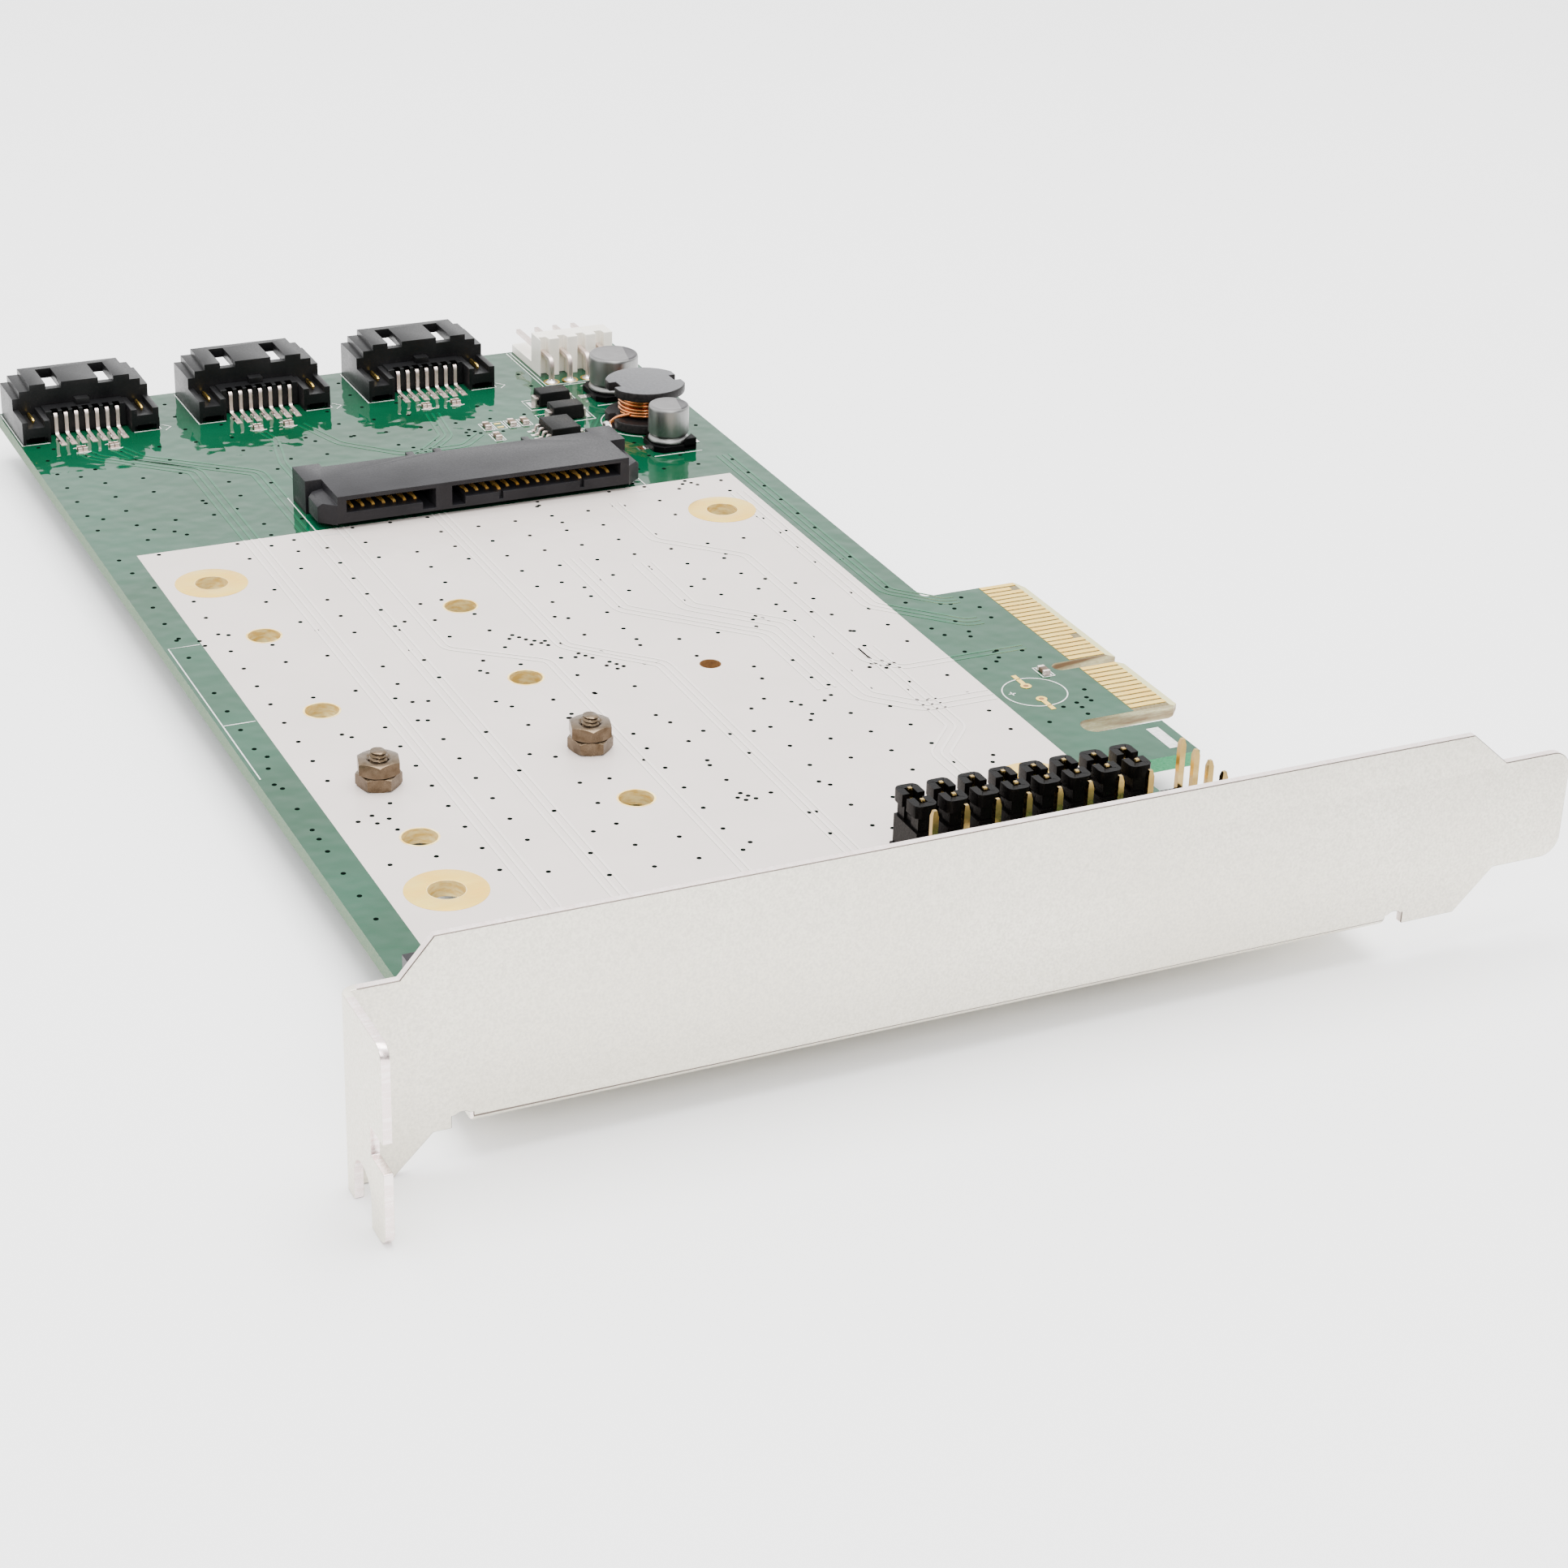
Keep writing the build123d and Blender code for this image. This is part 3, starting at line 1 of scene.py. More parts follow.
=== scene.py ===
import bmesh
import bpy
import numpy as np
from mathutils import Matrix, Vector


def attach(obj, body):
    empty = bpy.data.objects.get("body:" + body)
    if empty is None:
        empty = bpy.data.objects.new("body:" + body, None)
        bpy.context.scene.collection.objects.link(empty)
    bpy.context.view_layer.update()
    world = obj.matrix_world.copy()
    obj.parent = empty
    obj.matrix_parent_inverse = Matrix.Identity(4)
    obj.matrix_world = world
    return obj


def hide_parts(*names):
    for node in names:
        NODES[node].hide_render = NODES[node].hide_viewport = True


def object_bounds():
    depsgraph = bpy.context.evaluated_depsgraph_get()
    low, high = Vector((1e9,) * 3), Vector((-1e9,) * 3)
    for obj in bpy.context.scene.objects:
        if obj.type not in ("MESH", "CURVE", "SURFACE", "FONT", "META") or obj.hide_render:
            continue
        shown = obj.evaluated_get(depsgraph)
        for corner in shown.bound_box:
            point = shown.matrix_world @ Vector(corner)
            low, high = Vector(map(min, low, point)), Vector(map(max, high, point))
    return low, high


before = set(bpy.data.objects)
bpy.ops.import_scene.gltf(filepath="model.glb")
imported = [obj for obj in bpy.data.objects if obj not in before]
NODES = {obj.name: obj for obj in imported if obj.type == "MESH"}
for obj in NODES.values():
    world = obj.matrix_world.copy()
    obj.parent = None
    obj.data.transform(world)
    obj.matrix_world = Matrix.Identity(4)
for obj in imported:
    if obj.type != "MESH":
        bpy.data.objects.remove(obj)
cad_low, cad_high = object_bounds()
MM = 0.001


# The studio.
# The card lies on a pale floor. A white backdrop behind it and a soft light overhead are what its
# glossy mask mirrors. The side where the camera stands is dark, so upright black faces stay black.
class Socket:
    """An output socket in a material's tree. Arithmetic on it adds Math nodes."""

    def __init__(self, tree, out):
        self.tree = tree
        self.out = out

    def node(self, kind, settings=(), sockets=(), out=0):
        """Adds a node of that type, sets it, fills its sockets, and returns one of its outputs."""
        made = self.tree.nodes.new(kind)
        for key, value in dict(settings).items():
            setattr(made, key, value)
        for key, value in dict(sockets).items():
            if isinstance(value, Socket):
                self.tree.links.new(value.out, made.inputs[key])
            else:
                made.inputs[key].default_value = value
        return Socket(self.tree, made.outputs[out])

    def math(self, operation, *others):
        return self.node("ShaderNodeMath", {"operation": operation}, dict(enumerate((self, *others))))

    def __add__(self, other):
        return self.math("ADD", other)

    __radd__ = __add__

    def __mul__(self, other):
        return self.math("MULTIPLY", other)

    __rmul__ = __mul__

    def __sub__(self, other):
        return self.math("SUBTRACT", other)

    def __rsub__(self, other):
        return (self * -1.0) + other

    def __gt__(self, other):
        return self.math("GREATER_THAN", other)

    def __lt__(self, other):
        return self.math("LESS_THAN", other)

    def noise(self, scale, detail=3.0, stretch=None):
        """Noise from 0 to 1 at this position, with scale in cells a metre, stretched per axis."""
        at = self
        if stretch is not None:
            at = self.node("ShaderNodeVectorMath", {"operation": "MULTIPLY"}, {0: self, 1: stretch})
        return self.node("ShaderNodeTexNoise", {}, {"Vector": at, "Scale": scale, "Detail": detail})

    def ramp(self, low, high, from_value=0.0, to_value=1.0):
        """From from_value at low to to_value at high, held outside them."""
        return self.node("ShaderNodeMapRange", {"clamp": True},
                         {"Value": self, "From Min": low, "From Max": high,
                          "To Min": from_value, "To Max": to_value})

    def mix(self, first, second):
        """Colour from first where this is 0 to second where it is 1."""
        first, second = ((*c, 1.0) if isinstance(c, tuple) else c for c in (first, second))
        return self.node("ShaderNodeMix", {"data_type": "RGBA"}, {0: self, 6: first, 7: second}, out=2)

    def normal(self):
        """The x, y and z of the surface's normal, from -1 to 1."""
        return self.node("ShaderNodeNewGeometry", {}, {}, out=1).split()

    def split(self):
        """The x, y and z of a vector."""
        made = self.node("ShaderNodeSeparateXYZ", {}, {0: self})
        return [Socket(self.tree, o) for o in made.out.node.outputs]


def area_light(name, place, aim, size, watts):
    """Square lamp at place, turned so that its face looks at aim, both in metres."""
    lamp = bpy.data.lights.new(name, "AREA")
    lamp.size = size
    lamp.energy = watts
    holder = bpy.data.objects.new(name, lamp)
    bpy.context.scene.collection.objects.link(holder)
    gaze = np.array(place) - np.array(aim)
    gaze = gaze / np.linalg.norm(gaze)
    side = np.cross((0.0, 1.0, 0.001), gaze)
    side = side / np.linalg.norm(side)
    turn = np.eye(4)
    turn[:3, 0] = side
    turn[:3, 1] = np.cross(gaze, side)
    turn[:3, 2] = gaze
    turn[:3, 3] = place
    holder.matrix_world = Matrix(turn.tolist())


world = bpy.data.worlds.new("studio")
world.use_nodes = True
sky = world.node_tree.nodes["Background"]
sky.inputs["Color"].default_value = (1.0, 1.0, 1.0, 1.0)
heading = world.node_tree.nodes.new("ShaderNodeTexCoord").outputs["Generated"]
sky_x, _, sky_z = Socket(world.node_tree, heading).split()
glow = (sky_x * 0.8 + sky_z).ramp(-0.25, 0.45, 0.25, 2.7)
world.node_tree.links.new(glow.out, sky.inputs["Strength"])
bpy.context.scene.world = world
CARD_MIDDLE = (0.02, 0.05, 0.0)
area_light("overhead", (0.05, 0.02, 0.60), CARD_MIDDLE, 0.5, 7.0)
area_light("bracket_side", (-0.50, 0.15, 0.35), CARD_MIDDLE, 0.25, 2.0)


def material(name, metallic=0.0, roughness=0.5, **constants):
    """A principled material. Returns it, and the object position in metres to build patterns on."""
    made = bpy.data.materials.new(name)
    made.use_nodes = True
    shader = made.node_tree.nodes["Principled BSDF"]
    shader.inputs["Metallic"].default_value = metallic
    shader.inputs["Roughness"].default_value = roughness
    for key, value in constants.items():
        shader.inputs[key.replace("_", " ")].default_value = value
    place = made.node_tree.nodes.new("ShaderNodeTexCoord").outputs["Object"]
    return made, Socket(made.node_tree, place)


def feed(made, **sockets):
    """Links sockets to the principled shader. Bump takes (height, distance in metres)."""
    shader = made.node_tree.nodes["Principled BSDF"]
    for key, value in sockets.items():
        if key == "Bump":
            height, distance = value
            value = height.node("ShaderNodeBump", {}, {"Height": height, "Distance": distance})
            key = "Normal"
        made.node_tree.links.new(value.out, shader.inputs[key.replace("_", " ")])


floor_finish, at = material("floor_paper", roughness=0.9)
feed(floor_finish, Base_Color=at.noise(40.0).mix((0.93, 0.93, 0.93), (0.95, 0.95, 0.95)))
FLOOR_Z = cad_low.z - 0.05 * MM
FLOOR_HALF = 2.5
floor_mesh = bpy.data.meshes.new("floor")
floor_corners = [(x * FLOOR_HALF, y * FLOOR_HALF, FLOOR_Z) for x, y in ((-1, -1), (1, -1), (1, 1), (-1, 1))]
floor_mesh.from_pydata(floor_corners, [], [(0, 1, 2, 3)])
floor_mesh.materials.append(floor_finish)
floor = bpy.data.objects.new("floor", floor_mesh)
bpy.context.scene.collection.objects.link(floor)

# The camera.
# It stands behind the bracket's upper corner and looks down along the card. Its place and its lens
# are those that the photograph's own points were fitted with.
camera_data = bpy.data.cameras.new("camera")
camera_data.sensor_width = 36.0
camera_data.lens = 76.48
camera_data.shift_x = -0.0072
camera_data.shift_y = -0.0071
camera_data.clip_start = 0.01
camera_data.clip_end = 20.0
camera = bpy.data.objects.new("camera", camera_data)
bpy.context.scene.collection.objects.link(camera)
camera.matrix_world = Matrix((
    (-0.423469, 0.414219, -0.805665, -0.27892),
    (-0.905376, -0.162960, 0.392095, 0.17405),
    (0.031122, 0.895470, 0.444032, 0.14668),
    (0.0, 0.0, 0.0, 1.0)))
bpy.context.scene.camera = camera


# The circuit board.
# Glass-epoxy laminate, milled to shape. Both faces have a glossy green mask over the copper, and
# white ink covers the middle of the component face. The cut edges show the yellowish laminate.
def finish_node(made, *names):
    """Gives a material to CAD nodes whose shape is right as it is."""
    for name in names:
        NODES[name].data.materials.clear()
        NODES[name].data.materials.append(made)


BOARD_T = 1.57
INK_END_X, INK_LOW_Y, INK_HIGH_Y = 64.1, 17.3, 90.3
INK_CORNER_X, INK_CORNER_Y = -41.5, 38.5
TONGUE_START_X, TONGUE_BARE_Y = -14.5, 5.6


def mask(name, copper):
    """Green mask or white ink over the board. It is lighter where copper lies under it."""
    made, at = material(name, Specular_IOR_Level=0.27)
    x, y, _ = at.split()
    facing = at.normal()[2]
    on_face = facing.math("ABSOLUTE") > 0.97
    corner = (x < INK_CORNER_X * MM) * (y < INK_CORNER_Y * MM)
    in_band = (x < INK_END_X * MM) * (y > INK_LOW_Y * MM) * (y < INK_HIGH_Y * MM)
    ink = (facing > 0.5) * in_band * (1.0 - corner)
    lift = 1.6 if copper else 1.0
    cloud = at.noise(60.0).ramp(0.35, 0.65)
    green = cloud.mix((0.0010, 0.042 * lift, 0.016 * lift), (0.0016, 0.054 * lift, 0.024 * lift))
    bright = 0.07 if copper else 0.0
    white = at.noise(90.0, 4.0).ramp(0.3, 0.7).mix((0.57 + bright, 0.51 + bright, 0.475 + bright),
                                                   (0.61 + bright, 0.545 + bright, 0.51 + bright))
    weave = at.noise(2500.0, 2.0, (1.0, 1.0, 6.0)).ramp(0.35, 0.65)
    tongue_side = y.ramp(0.0118, 0.0136)
    milled = at.noise(110.0, 3.0, (1.0, 1.0, 9.0)).ramp(0.40, 0.62)
    pale = milled.mix((0.19, 0.115, 0.06), weave.mix((0.50, 0.45, 0.24), (0.66, 0.61, 0.40)))
    pale = (facing.math("ABSOLUTE") > 0.2).mix(pale, (0.55, 0.52, 0.25))
    thin = (x < TONGUE_START_X * MM).mix(pale, weave.mix((0.02, 0.20, 0.085), (0.06, 0.30, 0.14)))
    laminate = tongue_side.mix(thin, weave.mix((0.03, 0.10, 0.05), (0.12, 0.17, 0.09)))
    bare = (y < TONGUE_BARE_Y * MM) * (x > TONGUE_START_X * MM)
    green = bare.mix(green, weave.mix((0.09, 0.065, 0.015), (0.16, 0.12, 0.035)))
    feed(made, Base_Color=on_face.mix(laminate, ink.mix(green, white)),
         Roughness=0.05 + ink * 0.27 + (1.0 - on_face) * 0.5, Bump=(at.noise(340.0, 1.0), 0.00011))
    return made


finish_node(mask("board", False), "circuit_board")


def skin(rings, closed_rows=False):
    """Closed shape over rings of points, rows by columns by 3. Each end is closed to its middle,
    or the last ring is joined to the first one if closed_rows."""
    rings = np.asarray(rings, float)
    if not closed_rows:
        ends = np.repeat(rings[[0, -1]].mean(axis=1, keepdims=True), rings.shape[1], axis=1)
        rings = np.concatenate([ends[:1], rings, ends[1:]])
    rows, columns = rings.shape[:2]
    row, column = np.meshgrid(np.arange(rows if closed_rows else rows - 1), np.arange(columns),
                              indexing="ij")
    below, above = row * columns, (row + 1) % rows * columns
    after = (column + 1) % columns
    quads = np.stack([below + column, below + after, above + after, above + column], -1)
    return rings.reshape(-1, 3), quads.reshape(-1, 4)


UP = (0.0, 0.0, 1.0)
ALONG_X = (1.0, 0.0, 0.0)
ALONG_Y = (0.0, 1.0, 0.0)


def bar(path, side, width, thickness):
    """Rectangular bar along a path: at each point, plus and minus half the width along side, and
    half the thickness along the direction that is square to side and to the path."""
    path, side = np.asarray(path, float), np.asarray(side, float)
    up = np.cross(side, np.gradient(path, axis=0))
    up /= np.linalg.norm(up, axis=1, keepdims=True)
    width = np.broadcast_to(width, len(path))[:, None, None]
    thickness = np.broadcast_to(thickness, len(path))[:, None, None]
    signs = np.array([(-0.5, -0.5), (0.5, -0.5), (0.5, 0.5), (-0.5, 0.5)])
    return skin(path[:, None] + signs[:, :1] * side * width + signs[:, 1:] * up[:, None] * thickness)


def rounded(points, radius, steps=5):
    """The path with each inner corner replaced by a quadratic curve. It starts and ends radius away
    from the corner, which is its middle control point."""
    points = np.asarray(points, float)
    corner = points[1:-1]
    back, ahead = points[:-2] - corner, points[2:] - corner
    start = corner + back / np.linalg.norm(back, axis=1, keepdims=True) * radius
    end = corner + ahead / np.linalg.norm(ahead, axis=1, keepdims=True) * radius
    t = np.linspace(0, 1, steps)[None, :, None]
    curve = (1 - t) ** 2 * start[:, None] + 2 * t * (1 - t) * corner[:, None] + t ** 2 * end[:, None]
    return np.vstack([points[:1], curve.reshape(-1, points.shape[1]), points[-1:]])


def turned(profile, sides=32, closed_rows=False):
    """Shape turned about Z: each (radius, height) pair gives a circle of that radius at that height."""
    radius, height = np.asarray(profile, float).T[:, :, None]
    angle = np.linspace(0, 2 * np.pi, sides, endpoint=False)
    rings = np.stack([radius * np.cos(angle), radius * np.sin(angle), height + 0 * angle], -1)
    return skin(rings, closed_rows)


def at_sites(shape, sites, z=0.0):
    """Copies of a shape, one moved to each site in X and Y, and all to z."""
    vertices, faces = shape
    sites = np.asarray(sites, float)[:, :2]
    moves = np.column_stack([sites, np.full(len(sites), z)])
    step = len(vertices) * np.arange(len(sites))[:, None, None]
    return (vertices[None] + moves[:, None]).reshape(-1, 3), (faces[None] + step).reshape(-1, 4)


def joined(*shapes):
    """Several shapes as one."""
    starts = np.cumsum([0] + [len(v) for v, _ in shapes])
    return (np.vstack([v for v, _ in shapes]),
            np.vstack([f + start for (v, f), start in zip(shapes, starts)]))


def place(name, shape, made, slot, *nodes, bevel=0.0):
    """New piece from a shape in millimetres, with the CAD nodes that it stands for."""
    vertices, faces = shape
    mesh = bpy.data.meshes.new(name)
    mesh.from_pydata((vertices * MM).tolist(), [], faces.tolist())
    work = bmesh.new()
    work.from_mesh(mesh)
    bmesh.ops.remove_doubles(work, verts=work.verts, dist=1e-7)
    bmesh.ops.recalc_face_normals(work, faces=work.faces)
    work.to_mesh(mesh)
    work.free()
    mesh.polygons.foreach_set("use_smooth", np.ones(len(mesh.polygons), bool))
    mesh.set_sharp_from_angle(angle=0.7)
    mesh.materials.append(made)
    piece = bpy.data.objects.new(name, mesh)
    bpy.context.scene.collection.objects.link(piece)
    if bevel:
        edge = piece.modifiers.new("edge", "BEVEL")
        edge.width = bevel * MM
        edge.segments = 2
        edge.limit_method = "ANGLE"
    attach(piece, "root")
    if nodes:
        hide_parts(*nodes)
    return piece


# Tracks and vias.
# The copper tracks under the mask stand 0.035 mm proud. Vias are drilled and plated, and their
# holes are drawn as flat, near-black dots: painted shade for the dark inside of each hole. Most of
# them lie on a grid that joins the ground planes.
TRACK_H = 0.035
TRACK_W = 0.3
# How many tracks run side by side, how far apart, and the corners of their way.
BUNDLES = (
    (3, 0.88, ((97.6, 87.7), (95.6, 86.9), (87.0, 77.0), (-30.0, 77.0))),
    (3, 0.88, ((97.6, 83.8), (93.5, 82.0), (84.0, 70.2), (-30.0, 70.2))),
    (2, 0.80, ((97.6, 65.9), (94.0, 65.0), (86.0, 66.5), (28.0, 66.5), (21.0, 57.5), (-30.0, 57.5))),
    (3, 0.80, ((96.0, 44.0), (88.0, 45.0), (78.0, 54.5), (24.0, 54.5), (16.0, 46.5), (-33.0, 46.5))),
    (3, 0.96, ((46.0, 45.0), (31.0, 45.0), (19.0, 33.0), (4.0, 33.0))),
    (3, 1.12, ((42.0, 38.0), (29.0, 38.0), (21.0, 30.0), (1.0, 30.0), (-3.5, 25.5), (-3.5, 17.4))),
    (3, 0.96, ((12.0, 24.5), (-9.0, 24.5), (-14.0, 29.0), (-32.0, 29.0))),
    (2, 0.96, ((60.0, 34.0), (48.0, 34.0), (40.0, 26.0), (9.0, 26.0), (6.0, 23.0), (6.0, 8.5))),
    (3, 0.80, ((70.0, 15.6), (25.0, 15.6), (20.0, 10.8), (20.0, 9.4))),
    (3, 0.88, ((58.0, 19.0), (22.0, 19.0), (14.0, 11.2), (14.0, 9.6))),
    (3, 0.72, ((88.0, 24.5), (84.0, 27.0), (81.0, 27.0))),
    (2, 0.96, ((98.0, 60.5), (90.0, 58.0), (84.0, 52.0), (84.0, 44.0), (87.0, 41.0))),
)
tracks = []
for count, gap, points in BUNDLES:
    path = rounded(points, 0.9)
    run = np.gradient(path, axis=0)
    square = np.column_stack([-run[:, 1], run[:, 0]]) / np.linalg.norm(run, axis=1)[:, None]
    for step in np.arange(count) - (count - 1) / 2:
        line = np.column_stack([path + square * step * gap, np.full(len(path), TRACK_H / 2)])
        tracks.append(bar(line, UP, TRACK_H, TRACK_W))
place("tracks", joined(*tracks), mask("track_mask", True), "board")

chance = np.random.default_rng(11)
grid_x, grid_y = np.meshgrid(np.arange(-54.0, 113.0, 4.7), np.arange(15.2, 93.5, 4.55))
grid = np.column_stack([grid_x.ravel(), grid_y.ravel()])
# One shift for the whole grid, from the first of its random pairs.
grid = grid[chance.random(len(grid)) < 0.72] + chance.normal(0.0, 0.35, (len(grid), 2))[:1]
loose = chance.uniform((-54.0, 14.0), (112.0, 93.0), (150, 2))
nests = chance.uniform((-28.0, 20.0), (92.0, 60.0), (14, 2))
nests = (nests[:, None] + 0.8 * np.array([(-1, -1), (0, -0.4), (1, 0.2), (0, 1)])).reshape(-1, 2)
tongue = chance.uniform((-11.5, 7.0), (21.0, 14.0), (26, 2))
vias = np.vstack([grid, loose, nests, tongue])
DRIVE_SITES = [(x, y) for x in (-23.0, 53.6) for y in (23.0, 84.72)]
CARD_SITES = [(x, y) for x in (-12.1, -0.1, 17.9, 37.9) for y in (83.5, 61.3)]
BRACKET_SCREW_SITES = [(-52.49, 33.0), (-52.49, 88.5)]
TOOLING_SITE = (14.1, 41.9)
KEY_CIRCLE = (-4.75, 13.05)
KEY_NOTCH = (0.0, 7.5)
# Places that stay free of vias, each with a radius.
KEEP_CLEAR = [(*s, 4.6) for s in DRIVE_SITES] + [(*s, 2.6) for s in CARD_SITES]
KEEP_CLEAR += [(*s, 3.2) for s in BRACKET_SCREW_SITES]
KEEP_CLEAR += [(*TOOLING_SITE, 1.7), (*KEY_CIRCLE, 4.2), (*KEY_NOTCH, 2.6)]
clear = [np.hypot(vias[:, 0] - x, vias[:, 1] - y) > r for x, y, r in KEEP_CLEAR]
vias = vias[np.logical_and.reduce(clear)]
# Painted shade: matt near-black dots on both faces stand in for the dark inside of the via holes.
via_shade_finish, at = material("via_shade", roughness=1.0, Specular_IOR_Level=0.0)
feed(via_shade_finish, Base_Color=at.noise(900.0).mix((0.0005, 0.001, 0.001), (0.004, 0.008, 0.006)))
dot = turned([(0.26, 0.0), (0.26, 0.02)], 10)
place("via_holes", joined(at_sites(dot, vias), at_sites(dot, vias, -BOARD_T - 0.03)), via_shade_finish, "board")

# Printed lines.
# White ink, screen printed on the mask: the outline of each component, the line beside the card
# holes and a plain bar on the hook. The places of words and marks stay bare.
def outline(x, y, half_x, half_y):
    """Corners of a rectangle, back to the first one."""
    return [(x - half_x, y - half_y), (x + half_x, y - half_y), (x + half_x, y + half_y),
            (x - half_x, y + half_y), (x - half_x, y - half_y)]


def arc(x, y, radius, first=0.0, last=360.0, steps=49):
    """Points on a circle, from one angle in degrees to another."""
    angle = np.radians(np.linspace(first, last, steps))
    return np.column_stack([x + radius * np.cos(angle), y + radius * np.sin(angle)])


PORT_YS = [41.7, 63.63, 85.56]
PORT_HALF = 8.55
CHOKE = (84.1, 20.1)
DIODE_SITES = ((94.3, 28.6), (88.95, 28.85))
SMALL_CHIP_SITES = ((89.0, 39.3), (89.0, 36.0), (89.0, 34.3), (85.2, 39.3), (-0.6, 9.7))
EMPTY_CHIP_SITE = (89.0, 37.7)
INK_Z, INK_T, INK_W = 0.02, 0.04, 0.13
lines = [[(38.1, 90.5), (38.1, 93.9), (5.0, 93.9)], [(17.9, 90.5), (17.9, 93.9)],
         [(113.8, 27.4), (99.9, 27.4), (99.9, 15.4)], [(113.8, 26.9), (100.5, 26.9), (100.5, 15.4)],
         [(74.8, 69.4), (62.4, 69.4), (62.4, 67.4), (60.9, 66.6), (62.4, 65.8)],
         [(74.8, 28.4), (62.4, 28.4), (62.4, 30.4)],
         *[outline(*site, 1.8, 3.4) for site in DIODE_SITES],
         [(80.9, 29.6), (80.9, 33.8)], [(86.3, 29.6), (86.3, 33.8)],
         arc(*CHOKE, 5.45, 25, 155), arc(*CHOKE, 5.45, 205, 335),
         [(91.3, 16.2), (91.3, 23.5)], [(98.9, 16.8), (98.9, 22.8)], [(72.3, 17.4), (72.3, 23.7)],
         [(78.7, 18.4), (78.7, 22.6)],
         arc(*KEY_CIRCLE, 3.45), [(-4.7, 15.5), (-3.9, 15.5)], [(-4.3, 15.1), (-4.3, 15.9)]]
for x, y in (*SMALL_CHIP_SITES, EMPTY_CHIP_SITE):
    lines.append(outline(x, y, 1.25, 0.68))
for port_y in PORT_YS:
    for side in (-1, 1):
        edge_y = port_y + side * PORT_HALF
        lines.append([(113.6, edge_y), (102.15, edge_y), (102.15, port_y + side * 5.2)])
    for y in (port_y - 1.7, port_y + 2.2):
        lines.append([(97.7, y - 0.9), (97.3, y), (97.7, y + 0.9)])
        lines.append([(99.3, y - 0.9), (99.6, y), (99.3, y + 0.9)])
    lines.append([(103.6, port_y - 9.0), (102.6, port_y - 9.9), (101.6, port_y - 9.0)])
ink_lines = []
for points in lines:
    points = np.asarray(points, float)
    flat = np.column_stack([points, np.full(len(points), INK_Z)])
    ink_lines.append(bar(flat, UP, INK_T, INK_W))
ink_lines.append(bar([(-21.7, 6.0, INK_Z), (-16.9, 6.0, INK_Z)], UP, INK_T, 1.4))
print_finish, at = material("white_ink", roughness=0.5)
feed(print_finish, Base_Color=at.noise(2500.0).ramp(0.3, 0.6).mix((0.42, 0.44, 0.42), (0.62, 0.62, 0.60)))
place("printed_lines", joined(*ink_lines), print_finish, "board")

# The gold plating.
# The contact fingers, the drive rings and the hole walls are copper plated with nickel and gold.
# Each finger has fine drag marks along the way it enters the slot.
gold_finish, at = material("gold", metallic=1.0, roughness=0.3)
feed(gold_finish, Base_Color=at.noise(300.0).ramp(0.3, 0.7).mix((1.0, 0.62, 0.10), (1.0, 0.72, 0.17)),
     Roughness=at.noise(900.0, 4.0, (1.0, 0.1, 1.0)).ramp(0.3, 0.7, 0.16, 0.34))
finish_node(gold_finish, "edge_contacts_top", "edge_contacts_bottom")


def sleeve(radius, rim, proud):
    """Plated wall of a hole, 0.04 mm thick, with a rim on each face of the board."""
    low, under_rim = -BOARD_T - proud, -BOARD_T + 0.01
    return turned([(radius - 0.04, low), (rim, low), (rim, under_rim), (radius, under_rim),
                   (radius, -0.01), (rim, -0.01), (rim, proud), (radius - 0.04, proud)], 64, True)


ring = turned([(1.86, 0.0), (4.0, 0.0), (4.0, 0.04), (3.96, 0.05), (1.9, 0.05), (1.86, 0.04)], 96, True)
place("drive_rings", joined(at_sites(ring, DRIVE_SITES), at_sites(ring, DRIVE_SITES, -BOARD_T - 0.05)),
      gold_finish, "gold", "drive_hole_rings")
barrel_finish, at = material("plated_wall", metallic=0.6, roughness=0.5)
streaks = at.noise(900.0, 3.0, (1.0, 1.0, 3.0)).ramp(0.35, 0.65)
feed(barrel_finish, Base_Color=streaks.mix((0.80, 0.54, 0.15), (1.0, 0.84, 0.42)))
place("hole_walls", joined(at_sites(sleeve(1.85, 1.9, 0.04), DRIVE_SITES),
                           at_sites(sleeve(1.8, 1.95, 0.02), CARD_SITES)), barrel_finish, "gold")
burnt_finish, at = material("drilled_wall", roughness=0.8)
feed(burnt_finish, Base_Color=at.noise(1800.0).mix((0.10, 0.04, 0.01), (0.36, 0.17, 0.05)))
KEY_PAD_Y = 13.2
KEY_PAD_SITES = [(-6.5, KEY_PAD_Y), (-3.1, KEY_PAD_Y)]
GOLD_Z, GOLD_T = 0.02, 0.04
spare_hole = turned([(0.3, 0.0), (0.3, 0.045)], 16)
place("unplated_holes", joined(at_sites(sleeve(1.15, 1.17, 0.0), [TOOLING_SITE]),
                               at_sites(spare_hole, KEY_PAD_SITES)), burnt_finish, "board")
strips = [bar([(x, KEY_PAD_Y, GOLD_Z), (x + 2.8, KEY_PAD_Y, GOLD_Z)], UP, GOLD_T, 0.55) for x in (-9.2, -3.1)]
strips.append(at_sites(turned([(0.3, 0.0), (0.6, 0.0), (0.6, 0.05), (0.3, 0.05)], 20, True), KEY_PAD_SITES))
x, y = EMPTY_CHIP_SITE
strips += [bar([(x - 0.8, y, GOLD_Z), (x - 0.4, y, GOLD_Z)], UP, GOLD_T, 0.8),
           bar([(x + 0.4, y, GOLD_Z), (x + 0.8, y, GOLD_Z)], UP, GOLD_T, 0.8)]
place("bare_pads", joined(*strips), gold_finish, "gold")
